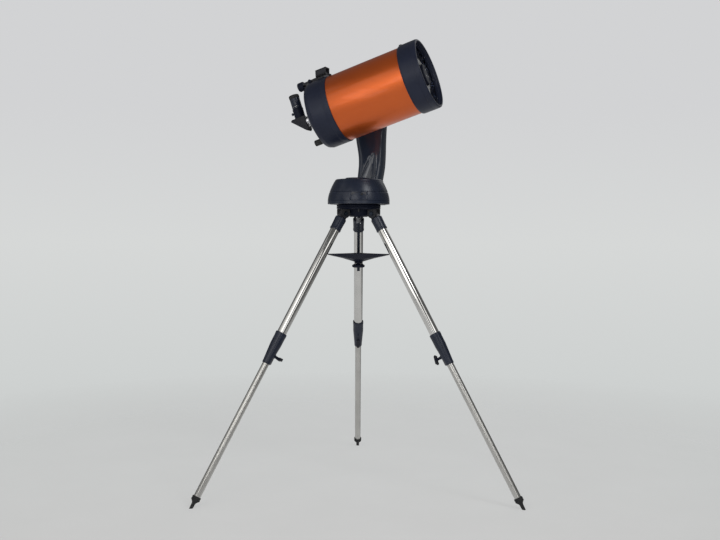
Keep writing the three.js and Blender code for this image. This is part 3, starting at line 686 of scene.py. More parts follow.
def wing_knob(number, place):
    neck = lathe(
        [(0, 11.8), (2.6, 11.8), (3, 12.4), (3, 18.3), (4.9, 18.5), (4.3, 32), (6.2, 36), (6.2, 40),
         (0, 42.4)],
        40, 0.4,
    )
    wing_outline = soften(
        [(-17, 36.5), (-14.5, 33.6), (-6, 34.2), (6, 34.2), (14.5, 33.6), (17, 36.5), (17, 39.5),
         (13.5, 42.5), (-13.5, 42.5), (-17, 39.5)],
        2.2, 4, True,
    )
    wing = on_edge(wing_outline, -4.5, 4.5, 1.3)
    turn = (
        Matrix.Translation((0, 0, -KNOB_DOWN))
        @ Matrix.Rotation(math.radians(-90), 4, "Y")
        @ spin(KNOB_TWISTS[number - 1])
    )
    solid_piece(
        f"wing_knob_{number}", joined(neck, wing), place @ turn, f"clamp_knob_{number}", "matt",
        [f"clamp_knob_{number}"],
    )


def lower_tube(number, place):
    end = -(LEG_LENGTH - FOOT_LENGTH + 12)
    inner = LOWER_TUBE_R - TUBE_WALL
    turned(
        f"lower_leg_{number}_tube",
        [(inner, end), (LOWER_TUBE_R, end), (LOWER_TUBE_R, -400), (inner, -400)],
        place, f"lower_leg_{number}", "dull_steel", [f"lower_tube_{number}"], 72, 0.3, True,
    )


def foot(number, place):
    """A ribbed rubber foot, cut level with the ground."""
    top = -LEG_LENGTH + FOOT_LENGTH
    rubber_foot = turned(
        f"foot_{number}_rubber",
        [(0, -LEG_LENGTH - 5), (5, -LEG_LENGTH - 5), (5.8, top - 24), (7, top - 20), (11, top - 15.5),
         (14.0, top - 12.5), (14.2, top - 9), (13.4, top - 8), (13.4, top - 7), (14.2, top - 6),
         (14.2, top - 1.5), (13, top), (11.3, top), (11.3, top - 11.5), (0, top - 11.5)],
        place, f"lower_leg_{number}", "rubber", [f"foot_{number}"], 56, 0.5,
    )
    ground = Matrix.Translation((AXIS.x, AXIS.y, 0)) @ spin(LEG_ANGLES[number - 1])
    cutter = moved(box_bm((0.55, -0.04, -0.03), (0.66, 0.04, 0.00002), 0), ground)
    cut_out(rubber_foot, cutter)


# ---- Mount --------------------------------------------------------------------------------------

BASE_R = 105
BASE_TOP_R = 80
SKIRT_Z = 968
RIM_Z = 1038
# How far the wall steps in at the heights of the grooves and the lower edge.
BASE_INSETS = {957.5: 0.5, 968.2: 0.9, 997.4: 1.1, 998: 1.1, 998.6: 1.1}
PANEL_ANGLE = math.radians(-70.5)
RECESS_HALF_ANGLE = math.radians(15)
RECESS_LOW = 968.6
RECESS_HIGH = 996.5
RECESS_DEPTH = 4.0


def wall(z):
    """The base's radius at a height: upright up to the skirt's top, then leaning in."""
    share = min(max((z - SKIRT_Z) / (RIM_Z - SKIRT_Z), 0.0), 1.0)
    return BASE_R - (BASE_R - BASE_TOP_R) * share**1.7


def rounded_square(count):
    """Points round a square of half width 1 with very round corners, from +X."""
    angles = [2 * math.pi * i / count for i in range(count)]
    return [[math.copysign(abs(v) ** 0.62, v) for v in (math.cos(a), math.sin(a))] for a in angles]

def base_shell():
    """A bowl with a skirt, a parting step at mid height and a recess for the sockets."""
    heights = [957.5, 957.9, 959, 962, 966, 967.6, 968.2, 968.9, 970, 974, 978, 982, 986, 990, 994]
    heights += [996, 997.4, 998, 998.6, 999.4, 1001, 1004, 1008, 1012, 1016, 1020, 1024, 1028, 1032]
    segments = 240
    rows = []

    def recess(angle, z):
        """How deep the panel's recess is, with ramped sides, as a trapezium on the wall."""
        off = (angle - PANEL_ANGLE + math.pi) % (2 * math.pi) - math.pi
        spread = RECESS_HALF_ANGLE * (1 + 0.12 * (995 - z) / 30)
        across = (spread - abs(off)) / math.radians(1.6)
        up = min((z - RECESS_LOW) / 1.2, (RECESS_HIGH - z) / 1.2)
        return RECESS_DEPTH * max(0.0, min(1.0, across, up))

    def ring(z, inset=0.0):
        row = []
        for i in range(segments):
            angle = 2 * math.pi * i / segments
            r = wall(z) - inset - recess(angle, z)
            row.append(Vector((r * math.cos(angle), r * math.sin(angle), z)))
        return row

    rows.append([Vector((97.5 * v.x / BASE_R, 97.5 * v.y / BASE_R, 966.5)) for v in ring(957.5)])
    rows.append([Vector((97.5 * v.x / BASE_R, 97.5 * v.y / BASE_R, 958.0)) for v in ring(957.5)])
    rows += [ring(z, BASE_INSETS.get(z, 0.0)) for z in heights]
    top = soften([(81.8, 1032), (80, 1038), (76.5, 1041.2), (66, 1042), (40, 1042)], 4.0, 6)
    for r, z in top[1:]:
        angles = [2 * math.pi * i / segments for i in range(segments)]
        rows.append([Vector((r * math.cos(a), r * math.sin(a), z)) for a in angles])
    bowl = grid_skin(rows)

    shoulder = [
        [Vector((x + half_x * u, y + half_y * v, z)) for u, v in rounded_square(72)]
        for x, y, half_x, half_y, z in (
            (1, 93, 59.4, 43.4, 957.5), (1, 93, 60, 44, 958.2), (1.3, 93.5, 59, 43.8, 970),
            (2, 95, 56, 43, 990), (3, 97, 52.5, 41.2, 1010), (4, 99, 49, 39, 1025),
            (5.2, 100.8, 45.6, 36.8, 1035), (5.7, 101.5, 44.4, 36, 1040.2), (5.9, 101.9, 43.6, 35.4, 1042),
        )
    ]
    solid_piece(
        "base_housing", joined(bowl, grid_skin(shoulder)), IN_MOUNT, "base", "gloss", ["base_shell"], 26
    )


def port_panel():
    """The plate in the recess: two modem-style sockets, a round power inlet and a slide switch. The sockets'
    mouths are thin dark sheets of painted shade.
    """
    place = IN_MOUNT @ Matrix.Rotation(PANEL_ANGLE, 4, "Z")
    plate = box_bm((93.6, -24.6, 969.6), (96, 24.6, 995.6), 0.5)
    frames = []
    for y in (-16, -3):
        frames += [box_bm((95.4, y - 5.6, z), (96.9, y + 5.6, z + 1), 0.25) for z in (981, 972)]
        frames += [box_bm((95.4, y + side, 972), (96.9, y + side + 1, 982), 0.25) for side in (-5.6, 4.6)]
    inlet = sleeve_bm([(3.2, 95.4), (5.4, 95.4), (5.4, 97.2), (3.2, 97.2)], 48, 0.3)
    inlet = moved(inlet, Matrix.Translation((0, 15, 977.5)) @ TO_X)
    line = box_bm((95.6, -22, 990), (96.5, 4, 991), 0.2)
    solid_piece(
        "socket_plate", joined(plate, *frames, inlet, line), place, "base", "casting", ["port_panel"]
    )
    # Thin dark sheets in the sockets' mouths: painted shade, standing for the shade inside the openings.
    mouth_shade_sheets = [box_bm((95.9, y - 4.4, 973.2), (96.06, y + 4.4, 980.8), 0) for y in (-16, -3)]
    solid_piece("socket_mouths_painted_shade", joined(*mouth_shade_sheets), place, "base", "inside")
    key = box_bm((96.4, 6.3, 986.2), (99.5, 13.7, 990.8), 0.7)
    grooves = [box_bm((99.1, 7.6 + 2 * k, 986.6), (99.75, 8.2 + 2 * k, 990.4), 0.15) for k in range(3)]
    solid_piece("switch_key", joined(key, *grooves), place, "power_switch", "rubber", ["power_switch"])


def battery_cover():
    turned(
        "battery_lid",
        [(0, 1034), (35.5, 1034), (35.5, 1042.4), (40, 1042.4), (40, 1044.6), (38.6, 1046), (30, 1046),
         (29, 1045.3), (0, 1045.3)],
        IN_MOUNT @ Matrix.Translation((0, -14, 0)), "battery_cover", "gloss", ["battery_cover"], 96, 0.8,
    )


# Stations up the arm: height, middle x, middle y, width, thickness.
ARM_SECTIONS = [
    (1042.3, 6, 102, 86, 70),
    (1078, 9, 108, 89, 68.5),
    (1100, 10, 111, 90, 68),
    (1130, 8.5, 116, 93, 67),
    (1185, 2, 124, 104, 64),
    (1215, 0, 127, 109, 63),
    (1242, 0, 130, 110, 62),
    (1295, 0, 130, 110, 62),
]


ARCH_FOOT = 1042
ARCH_HEIGHT = 96
ARCH_HALF_WIDTH = 25
LEDGE_WIDTH = 2.2
LEDGE_DEPTH = 2.0
BOWL_DEPTH = 7.0
PARTING_Y = 112


def arm_section(z):
    """The arm's middle, width and thickness at a height, smoothly between its stations."""
    last = len(ARM_SECTIONS) - 1
    i = next(i for i in range(last) if z <= ARM_SECTIONS[i + 1][0])
    before, low, high, after = (ARM_SECTIONS[min(max(k, 0), last)] for k in range(i - 1, i + 3))
    span = high[0] - low[0]
    t = (z - low[0]) / span
    values = []
    for k in range(1, 5):
        m0 = (high[k] - before[k]) / max(high[0] - before[0], 1) * span
        m1 = (after[k] - low[k]) / max(after[0] - low[0], 1) * span
        values.append(
            (2 * t**3 - 3 * t**2 + 1) * low[k] + (t**3 - 2 * t**2 + t) * m0
            + (-2 * t**3 + 3 * t**2) * high[k] + (t**3 - t**2) * m1
        )
    return values


def arm():
    """The curved arm, with a pointed arch sunk into the inner face and a parting line round it."""
    outline = rounded_square(200)
    rows = []

    def arch_depth(x, z):
        """Depth of the sunk arch at a place on the inner face, whose middle leans with height."""
        up = max(z - ARCH_FOOT, 0)
        if up >= ARCH_HEIGHT:
            return 0.0
        centre = 6.5 + 17.5 * (up / 92) ** 1.2
        half = ARCH_HALF_WIDTH * (1 - (up / ARCH_HEIGHT) ** 2.1) ** 0.75
        inside = half - abs(x - centre)
        if inside <= 0:
            return 0.0
        ledge = min(1.0, inside / LEDGE_WIDTH)
        bowl = 1 - ((x - centre) / half) ** 2
        return LEDGE_DEPTH * ledge * ledge * (3 - 2 * ledge) + BOWL_DEPTH * bowl * min(1.0, half / 18)

    def ring(x, y, half_x, half_y, z):
        row = []
        for u, v in outline:
            px = x + half_x * u
            py = y + half_y * v
            if v < 0:
                py += arch_depth(px, z)
            if abs(py - PARTING_Y) < 0.65 and abs(u) > 0.57:
                px -= math.copysign(0.7, u)
            row.append(Vector((px, py, z)))
        return row

    z = ARM_SECTIONS[0][0]
    while z < ARM_SECTIONS[-1][0]:
        x, y, width, depth = arm_section(z)
        foot = 0.8 if z < 1042.5 else 0.0
        rows.append(ring(x, y, width / 2 - foot, depth / 2 - foot, z))
        z += 2.0
    for degrees in range(0, 90, 5):
        a = math.radians(degrees)
        rows.append(ring(0, 130, 55 * math.cos(a), 31 * (0.82 + 0.18 * math.cos(a)), 1295 + 55 * math.sin(a)))
    shells = ["arm_inner_shell", "arm_outer_shell"]
    # The arm's lighter black is painted light against the tube's shade.
    solid_piece("arm_housing", grid_skin(rows), IN_MOUNT, "base", "polished_painted_light", shells, 40)


def hand_control():
    """The control in its cradle on the arm's outer side, with raised keys and a display window."""
    tilt = Matrix.Translation((5, 153.5, 1168)) @ Matrix.Rotation(math.radians(-6.7), 4, "X")
    place = IN_MOUNT @ tilt
    outline = soften([(-28, -75), (28, -75), (28, 75), (-28, 75)], 13, 8, True)
    shell = moved(slab_bm(outline, -9, 13, 3.2, 4), Matrix.Rotation(-math.pi / 2, 4, "X"))
    window = box_bm((-21, 12.6, 34), (21, 13.4, 62), 0.5)
    solid_piece("control_shell", joined(shell, window), place, "hand_control", "matt", ["hand_control"])
    glass = box_bm((-18.5, 13.1, 38), (18.5, 13.7, 58), 0.3)
    solid_piece("control_display", glass, place, "hand_control", "gloss")
    keys = []
    for row in range(5):
        for column in range(3):
            place_key = Matrix.Translation((-13.4 + 13.4 * column, 0, 12 - 15.6 * row))
            outline = soften([(-4.8, -4.4), (4.8, -4.4), (4.8, 4.4), (-4.8, 4.4)], 2.2, 4, True)
            key = slab_bm(outline, 13, 15.9, 0.7)
            keys.append(moved(key, place_key @ Matrix.Rotation(-math.pi / 2, 4, "X")))
    mat = box_bm((-19.6, 11.4, -65.6), (19.6, 13.7, 17.6), 0.5)
    solid_piece(
        "control_keys", joined(mat, *keys), place, "keypad", "rubber", ["hand_control_keypad"]
    )
    lip = [
        box_bm((-31.4, -2, -79), (-29.2, 4, 79), 0.7),
        box_bm((29.2, -2, -79), (31.4, 4, 79), 0.7),
        box_bm((-31.4, -2, -79), (31.4, 4, -76.6), 0.7),
    ]
    solid_piece("control_cradle", joined(*lip), place, "base", "gloss")


# ---- Optical tube -------------------------------------------------------------------------------

BEND = -200
FOCUS_LINE = Matrix.Translation((0, -10, -84))


def on_tube(name, profile, body, material, replaces=(), segments=128, radius=0.6, ring=False, place=None,
            radius_at=None):
    """A piece turned about the optical axis, or about a line beside it."""
    matrix = IN_TUBE @ (place or Matrix.Identity(4)) @ TO_X
    return turned(name, profile, matrix, body, material, replaces, segments, radius, ring, radius_at)
def tube_piece(name, bm, material, replaces=()):
    """A piece that is fixed to the optical tube."""
    return solid_piece(name, bm, IN_TUBE, "tube", material, replaces)


def screws(profile, segments, soft, x, radius, angles, facing=None):
    """Screw heads on a circle round the optical axis; they face outwards unless facing is given."""
    heads = []
    for degrees in angles:
        place = along(facing or (0, *polar(1, degrees)), (x, *polar(radius, degrees)))
        heads.append(moved(lathe(profile, segments, soft), place))
    return heads

def main_tube():
    on_tube(
        "tube_skin", [(110.2, -59.5), (112, -59.5), (112, 212), (110.2, 212)], "tube", "orange",
        ["main_tube"], 192, 0.2, True,
    )
    seam = box_bm((-53, -0.35, -112.12), (205.5, 0.35, -111.7), 0.1)
    tube_piece("tube_seam", seam, "orange")


def front_cell():
    """The front casting: a rolled rear edge, a shallow groove, and a stepped, blackened throat."""
    on_tube(
        "front_casting",
        [(112.3, 206), (113.4, 206, 0.3), (115.2, 207.7, 1.4), (116.4, 210.5, 2.5), (116.8, 215, 2),
         (116.9, 250, 1), (116.4, 250.6, 0.2), (116.4, 252, 0.2), (116.9, 252.6, 0.2), (116.8, 263, 2),
         (115.9, 268, 2.5), (113.8, 270.3, 1.6), (110.2, 270.5, 0.8), (108.8, 268.9, 0.8),
         (108.2, 262, 0.5), (107.2, 261, 0.4), (107.2, 248, 0.3), (100.2, 246.2, 0.3), (100.2, 237, 0.5),
         (106, 228, 1), (106, 212.4, 0.5), (112.3, 212.4, 0.2)],
        "tube", "casting", ["front_cell"], 160, 0.5, True,
    )
    heads = screws(
        [(0, -0.6), (2.2, -0.6), (2.2, 0.25), (1.3, 0.35), (1.2, 0.0), (0, 0.0)],
        24, 0.15, 236, 116.6, range(15, 375, 60),
    )
    tube_piece("front_screws", joined(*heads), "dark_steel")


def corrector():
    on_tube(
        "corrector_glass", [(31, 246.5), (103, 246.5), (103, 251.2), (31, 251.2)], "tube", "glass",
        ["corrector_plate"], 128, 0.3, True,
    )
    on_tube(
        "retaining_ring", [(98.8, 251.8), (106.9, 251.8), (106.9, 254), (105, 255), (99.6, 255),
                           (98.8, 254)],
        "tube", "matt", ["corrector_retainer"], 128, 0.3, True,
    )
    heads = screws(
        [(0, 254.8), (2.1, 254.8), (2.1, 256), (1.5, 256.4), (0, 256.4)],
        20, 0.2, 0, 102.9, range(0, 360, 45), (1, 0, 0),
    )
    tube_piece("retainer_screws", joined(*heads), "chrome")


def secondary():
    """The cell in the corrector's middle: a dished cap with a grip and three small screws."""
    cap = lathe(
        [(0, 248), (25.5, 248), (30.4, 251.8), (36.4, 251.8), (36.4, 254.6), (35, 255.6), (34, 259.4),
         (32.4, 260.8), (26, 261.5), (24.8, 260.2), (24, 260), (0, 260)],
        96, 0.5, ribs(30, 0.6, 255.8, 259.2),
    )
    barrel = sleeve_bm(
        [(27.3, 190), (30.6, 190), (30.6, 246), (34.5, 246), (34.5, 242.6), (27.4, 242.6)], 96, 0.3
    )
    whole = moved(joined(cap, barrel), TO_X)
    tube_piece("secondary_housing", whole, "matt", ["secondary_cell"])
    heads = screws(
        [(0, 259.6), (2.6, 259.6), (2.6, 261.3), (1.4, 261.45), (1.3, 260.4), (0, 260.4)],
        24, 0.2, 0, 15, (90, 210, 330), (1, 0, 0),
    )
    tube_piece("collimation_screws", joined(*heads), "chrome")
    on_tube(
        "secondary_glass", [(0, 239), (26.4, 239.3), (26.8, 240), (26.8, 247.4), (0, 247.4)], "tube",
        "mirror", ["secondary_mirror"], 96, 0.3,
    )


def inner_optics():
    on_tube("baffle_tube", [(18.4, -137), (20, -137), (20, 138), (18.4, 138)], "tube", "inside",
            ["primary_baffle"], 72, 0.2, True)
    bowl = []
    for k in range(13):
        r = 27 + (99 - 27) * k / 12
        bowl.append((r, -98.6 + 4.5 * ((r - 27) / 72) ** 2, 0))
    profile = [(20.35, -122), (26, -122), (26, -112), (99, -112), *bowl[::-1], (26, -98.5), (24, -62),
               (20.35, -62)]
    on_tube("primary_glass", profile, "primary_mirror", "mirror", ["primary_mirror"], 128, 0.3, True)


def rear_cell():
    """The rear casting: a rolled front edge, a straight band and a rounded, stepped back."""
    on_tube(
        "rear_casting",
        [(112.3, -53.5), (113.8, -53.5, 0.4), (114.8, -55, 0.7), (114.8, -72, 1), (114.3, -72.6, 0.2),
         (114.3, -73.8, 0.2), (114.8, -74.4, 0.2), (114.8, -120, 6), (110, -134, 9), (98, -138.5, 5),
         (80, -138.9, 1), (76.5, -139.4, 1.5), (73.5, -147, 2), (70, -149.5, 1.2), (44, -149.5, 0.5),
         (43, -148.7, 0.2), (41, -148.7, 0.2), (40, -149.5, 0.3), (16.6, -149.5, 0.4), (16.6, -137.5),
         (20.4, -137.5), (20.4, -132.5), (94, -132.5, 2), (107, -120.5, 4), (107, -59.9),
         (112.3, -59.9)],
        "tube", "casting", ["rear_cell"], 160, 0.6, True,
    )
    rim_screws = screws(
        [(0, -0.6), (2.3, -0.6), (2.3, 0.3), (1.4, 0.4), (1.2, 0.05), (0, 0.05)],
        24, 0.15, -63, 114.5, range(8, 368, 60),
    )
    back_screws = screws(
        [(0, 0), (3.4, 0), (3.4, 1.6), (2.2, 2.2), (1.8, 1.2), (0, 1.2)],
        28, 0.3, -139.0, 88, (35, 145, 215, 325), (-1, 0, 0),
    )
    tube_piece("rear_screws", joined(*rim_screws, *back_screws), "dark_steel")
    seat = sleeve_bm([(3.4, -140.2), (13, -140.2), (13.6, -139.4), (13.6, -137), (3.4, -137)], 48, 0.4)
    tube_piece("focus_seat", moved(seat, FOCUS_LINE @ TO_X), "casting")


def focus_knob():
    on_tube(
        "focus_grip",
        [(0, -172), (7.4, -172), (9.6, -171), (10.3, -169), (10.3, -147), (9.2, -145.5), (6.5, -144.5),
         (6.5, -141.4), (3, -141.2), (3, -124), (0, -124)],
        "focus_knob", "rubber", ["focus_knob"], 144, 0.5, place=FOCUS_LINE,
        radius_at=ribs(24, 0.8, -168.4, -147.6),
    )


def visual_back():
    on_tube(
        "visual_back_ring",
        [(16.25, -149.8), (25, -149.8), (25, -155.6), (23.6, -156.6), (20.6, -157.8), (20, -160),
         (20, -168.2), (19.2, -169), (16.25, -169)],
        "tube", "chrome", ["visual_back"], 120, 0.4, True, None, ribs(60, 0.35, -155.4, -150.2),
    )
    thumbscrew("back_thumbscrew", (-163.5, 0, 0), (0, 0, 1), 20.6, "visual_back_screw", "dull_steel")


def thumbscrew(name, at, direction, seat, node, material):
    """A ribbed thumbscrew on the body that has its node's name."""
    profile = [
        (0, 16.5), (1.6, 16.5), (2, 16.9), (2, seat), (2.6, seat + 0.2), (2.6, seat + 1.4),
        (4.6, seat + 1.8), (4.6, seat + 6.4), (3.8, seat + 7), (0, seat + 7),
    ]
    matrix = IN_TUBE @ along(direction, at)
    grip = ribs(18, 0.45, seat + 2, seat + 6.2)
    turned(name, profile, matrix, node, material, [node], 72, 0.25, False, grip)


def diagonal():
    """Star diagonal: chromed nosepiece, black prism housing with a slanted back, eyepiece holder."""
    housing = soften(
        [(-177.5, 18.5), (-177.5, -26), (-181.6, -31.4), (-185.2, -31.4), (-229.4, 12), (-229.4, 14.8),
         (-225.6, 18.5)],
        1.6, 4, True,
    )
    block = on_edge(housing, -19, 19, 1.4, 4)
    plate_mid = Vector((-207.4, -9.6))
    slope = Vector((-44.5, 43.5)).normalized()
    normal = Vector((-slope.y, -slope.x))
    places = ((-26, -0.6), (26, -0.6), (26, 0.7), (-26, 0.7))
    corners = [plate_mid + slope * s + normal * n for s, n in places]
    back = on_edge(corners, -16, 16, 0.4)
    holder = sleeve_bm(
        [(16.3, 17), (18.6, 17), (18.6, 20.5), (18, 21.5), (18, 46.4), (18.5, 47), (18.5, 51.2),
         (17.8, 52), (16.3, 52)],
        96, 0.4,
    )
    holder = moved(holder, Matrix.Translation((BEND, 0, 0)))
    solid_piece("diagonal_housing", joined(block, back, holder), IN_TUBE, "diagonal", "matt", ["diagonal"])
    on_tube(
        "diagonal_nosepiece",
        [(13.6, -179), (15.9, -179), (15.9, -173.4), (15.5, -172.8), (15.5, -166), (15.9, -165.4),
         (15.9, -153.3), (15.2, -152.5), (13.6, -152.5)],
        "diagonal", "chrome", (), 96, 0.25, True,
    )
    on_tube(
        "diagonal_collar", [(14, -179), (19, -179), (19, -177.6), (18.4, -176.6), (14, -176.6)], "diagonal",
        "chrome", (), 72, 0.3, True,
    )
    thumbscrew("holder_thumbscrew", (BEND, 0, 40), (-1, 0, 0), 18.6, "diagonal_screw", "dark_steel")


def eyepiece():
    place = IN_TUBE @ Matrix.Translation((BEND, 0, 0))
    turned(
        "eyepiece_barrel",
        [(0, 24), (14.6, 24), (15.9, 24.8), (15.9, 52.2), (17.2, 52.8), (17.2, 62), (16.8, 62.5),
         (16.8, 63.4), (17.2, 64), (17.2, 80), (16.8, 80.6), (16.8, 81.4), (17.2, 82), (17.2, 88.4),
         (16.4, 89), (0, 89)],
        place, "eyepiece", "gloss", ["eyepiece"], 144, 0.3, False, ribs(36, 0.5, 65, 79),
    )
    turned(
        "eyepiece_band", [(17.0, 58.6), (17.3, 58.6), (17.3, 59.4), (17.0, 59.4)], place, "eyepiece",
        "dull_steel", (), 96, 0.1, True,
    )
    turned(
        "eyepiece_cup",
        [(10, 89.3), (17.6, 89.3), (18, 91), (17.8, 97), (17.2, 100), (16, 100.5), (13.4, 100.3),
         (12.6, 98), (10.4, 92.5)],
        place, "eyepiece", "rubber", ["eyecup"], 96, 0.6, True,
    )
    turned(
        "eye_lens", [(0, 89.4), (9.9, 89.4), (9.9, 90.6), (7, 91.6), (3.5, 92.1), (0, 92.3)],
        place, "eyepiece", "glass", (), 64, 0.3,
    )


def finder():
    """Red-dot finder: a beam with a battery pod behind, an adjustment knob and a framed window."""
    shoe = slab_bm([(-12.8, 114.2), (12.8, 114.2), (12.4, 116.2), (-12.4, 116.2)], -132, -78, 0.4)
    shoe = moved(shoe, Matrix(((0, 0, 1, 0), (1, 0, 0, 0), (0, 1, 0, 0), (0, 0, 0, 1))))
    tube_piece("finder_shoe", shoe, "matt", ["finder_bracket"])
    beam = soften([(-158, 116.6), (-62, 116.6), (-61, 125), (-99, 125), (-158, 123.6)], 1.5, 3, True)
    pod = lathe(
        [(0, -174), (12.6, -174), (15, -172), (15.5, -170), (15.5, -165.6), (14.9, -165), (14.9, -164),
         (15.5, -163.4), (15.5, -155), (13.4, -151.5), (0, -151.5)],
        72, 0.8, ribs(24, 0.5, -171, -166),
    )
    pod = moved(pod, Matrix.Translation((0, 0, 117.5)) @ TO_X)
    cheek = soften([(-99.5, 124), (-61.5, 124), (-54.6, 146.4), (-93.5, 146.9)], 1, 3, True)
    cheeks = [on_edge(cheek, y, y + 3.4, 0.9) for y in (-18, 14.6)]
    roof = soften([(-94.2, 143.6), (-55.6, 143.2), (-54.6, 146.4), (-93.5, 146.9)], 0.8, 3, True)
    sill = box_bm((-98, -18, 124), (-61, 18, 129), 1.2)
    nose = soften([(-62, 117), (-52, 119), (-50.6, 121.5), (-54, 124), (-62, 124.5)], 1.2, 3, True)
    whole = joined(
        on_edge(beam, -13, 13, 1.6), pod, *cheeks, on_edge(roof, -18, 18, 1.1), sill, on_edge(nose, -9, 9, 1)
    )
    tube_piece("finder_moulding", whole, "matt", ["finder"])
    pane = box_bm((-66.6, -14.7, 128.9), (-65.2, 14.7, 143.5), 0.2)
    tube_piece("finder_window", pane, "glass")
    # A dark block filling the back of the hood: painted shade of the hood's inside.
    hood_shade_block = box_bm((-91, -14.7, 128.9), (-76, 14.7, 143.5), 0.6)
    tube_piece("finder_hood_painted_shade", hood_shade_block, "inside")
    turned(
        "finder_adjuster",
        [(0, 10), (2, 10), (2, 13.3), (5, 13.5), (5.6, 14), (5.6, 18.4), (5, 19), (0, 19)],
        IN_TUBE @ along((0, -1, 0),
        (-124, 0, 121.2)), "finder_knob", "matt", ["finder_knob"], 96, 0.3, False,
        ribs(20, 0.4, 14.2, 18.2),
    )


def dovetail():
    """The bar along the tube's far side, its saddle on the altitude shaft, and the clamp knob."""
    across = Matrix(((0, 0, 1, 0), (0, 1, 0, 0), (-1, 0, 0, 0), (0, 0, 0, 1)))
    bar = moved(slab_bm([(-18.7, 119), (18.7, 119), (22, 131.2), (-22, 131.2)], -72, 214, 0.8), across)
    pads = [
        box_bm((-71.5, -14, 113), (-56.5, 14, 120), 0.8),
        box_bm((204.5, -14, 115.6), (213.5, 14, 120), 0.8),
    ]
    tube_piece("dovetail_plate", joined(bar, *pads), "casting", ["dovetail_bar"])
    disc = moved(lathe([(0, 132), (42, 132), (43, 133), (43, 141), (42, 142), (0, 142)], 96, 0.6), TO_Y)
    jaws = []
    for side in (-1, 1):
        outline = [(side * x, z) for x, z in ((22.6, 133), (19.7, 121), (31.5, 121), (34, 124), (34, 133))]
        jaws.append(moved(slab_bm(outline, -42, 42, 0.7), across))
    solid_piece("saddle_casting", joined(disc, *jaws), IN_TUBE, "saddle", "casting", ["dovetail_saddle"])
    turned(
        "saddle_grip",
        [(0, -24), (3, -24), (3, -34.6), (4.5, -34.8), (4.5, -43.4), (6.5, -44.5), (9, -45.2), (9, -57.2),
         (7.4, -59), (0, -59)],
        IN_TUBE @ Matrix.Translation((0, 126.5, 0)), "saddle_knob", "matt", ["saddle_knob"], 120, 0.5, False,
        ribs(8, 1.5, -57, -45.6),
    )
    turned(
        "altitude_axle", [(0, 142.3), (11.4, 142.3), (12, 143), (12, 183), (11.2, 184), (0, 184)],
        IN_TUBE @ TO_Y, "saddle", "dull_steel", ["altitude_shaft"], 64, 0.3,
    )


def bottom_plate():
    turned(
        "azimuth_base_plate",
        [(0, 957), (70, 957), (70, 959.5), (97, 959.5), (97, 965), (22, 965), (22, 969.6), (12, 969.6),
         (12, 1012), (0, 1012)],
        IN_STAND, "stand", "casting", ["azimuth_plate"], 128, 0.5,
    )


def inner_gears():
    """Gears and motors inside the housings keep their CAD shapes, with machined finishes."""
    finishes = {"azimuth_wheel": "brass", "altitude_wheel": "brass", "azimuth_drive": "dull_steel"}
    for node, key in finishes.items():
        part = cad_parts[node]
        part.data.materials.clear()
        part.data.materials.append(MATERIALS[key])


for make in (
    tripod_head, hinge_bolts, centre_rod, brace_tray, brace_knob, base_shell, port_panel, battery_cover, arm,
    hand_control, main_tube, front_cell, corrector, secondary, inner_optics, rear_cell, focus_knob,
    visual_back, diagonal, eyepiece, finder, dovetail, bottom_plate, inner_gears,
):
    make()
for leg_index in range(len(LEG_ANGLES)):
    for make in (leg_socket, upper_tube, leg_clamp, wing_knob, lower_tube, foot):
        make(leg_index + 1, in_leg(leg_index))

# ---- Studio -------------------------------------------------------------------------------------
# Metres in front of the azimuth axis and above the floor, radians down, degrees of roll, widths of shift.
CAMERA_BACK = 3.283
CAMERA_HEIGHT = 0.866
CAMERA_TILT = 0.04
CAMERA_ROLL = 0.23
CAMERA_SHIFT = 0.0022222

def floor():
    """A pale, partly see-through floor that fades out into the backdrop away from the object."""
    bm = bmesh.new()
    bmesh.ops.create_grid(bm, x_segments=40, y_segments=40, size=6)
    mesh = mesh_of(bm, "studio_floor")
    ground = added("studio_floor", mesh)
    material, tree, shader = new_material("studio_floor")
    tone = ramp(tree, noise(tree, 3, 4), [(0.3, 0.55), (0.7, 0.57)])
    plug(tone, shader, "Base Color")
    plug(tone, shader, "Emission Color")
    shader.inputs["Emission Strength"].default_value = 0.68
    shader.inputs["Roughness"].default_value = 0.9
    where = tree.nodes.new("ShaderNodeTexCoord")
    length = tree.nodes.new("ShaderNodeVectorMath")
    length.operation = "LENGTH"
    tree.links.new(where.outputs["Object"], length.inputs[0])
    distance = calculate(tree, "MULTIPLY", length.outputs["Value"], 0.4)
    plug(ramp(tree, distance, [(0.0, 0.6), (0.45, 0.5), (1.0, 0.0)]), shader, "Alpha")
    mesh.materials.append(material)


def generated_parts(tree):
    """A node with the X, Y and Z of the generated coordinates."""
    where = tree.nodes.new("ShaderNodeTexCoord")
    parts = tree.nodes.new("ShaderNodeSeparateXYZ")
    tree.links.new(where.outputs["Generated"], parts.inputs["Vector"])
    return parts


def backdrop():
    """The pale surroundings that are seen but don't light the object, darker towards the floor."""
    bm = bmesh.new()
    bmesh.ops.create_uvsphere(bm, u_segments=64, v_segments=32, radius=16)
    mesh = mesh_of(bm, "studio_backdrop")
    mesh.polygons.foreach_set("use_smooth", [True] * len(mesh.polygons))
    dome = added("studio_backdrop", mesh)
    material = bpy.data.materials.new("studio_backdrop")
    material.use_nodes = True
    tree = material.node_tree
    tree.nodes.clear()
    parts = generated_parts(tree)
    colour = ramp(
        tree, parts.outputs["Z"],
        [(0.35, (0.50, 0.505, 0.495)), (0.375, (0.53, 0.545, 0.535)), (0.44, (0.62, 0.64, 0.635)),
         (0.52, (0.672, 0.685, 0.68)), (0.6, (0.645, 0.65, 0.66))],
    )
    glow = tree.nodes.new("ShaderNodeEmission")
    tree.links.new(colour, glow.inputs["Color"])
    end = tree.nodes.new("ShaderNodeOutputMaterial")
    tree.links.new(glow.outputs[0], end.inputs["Surface"])
    mesh.materials.append(material)
    dome.visible_diffuse = False
    dome.visible_glossy = False
    dome.visible_shadow = False


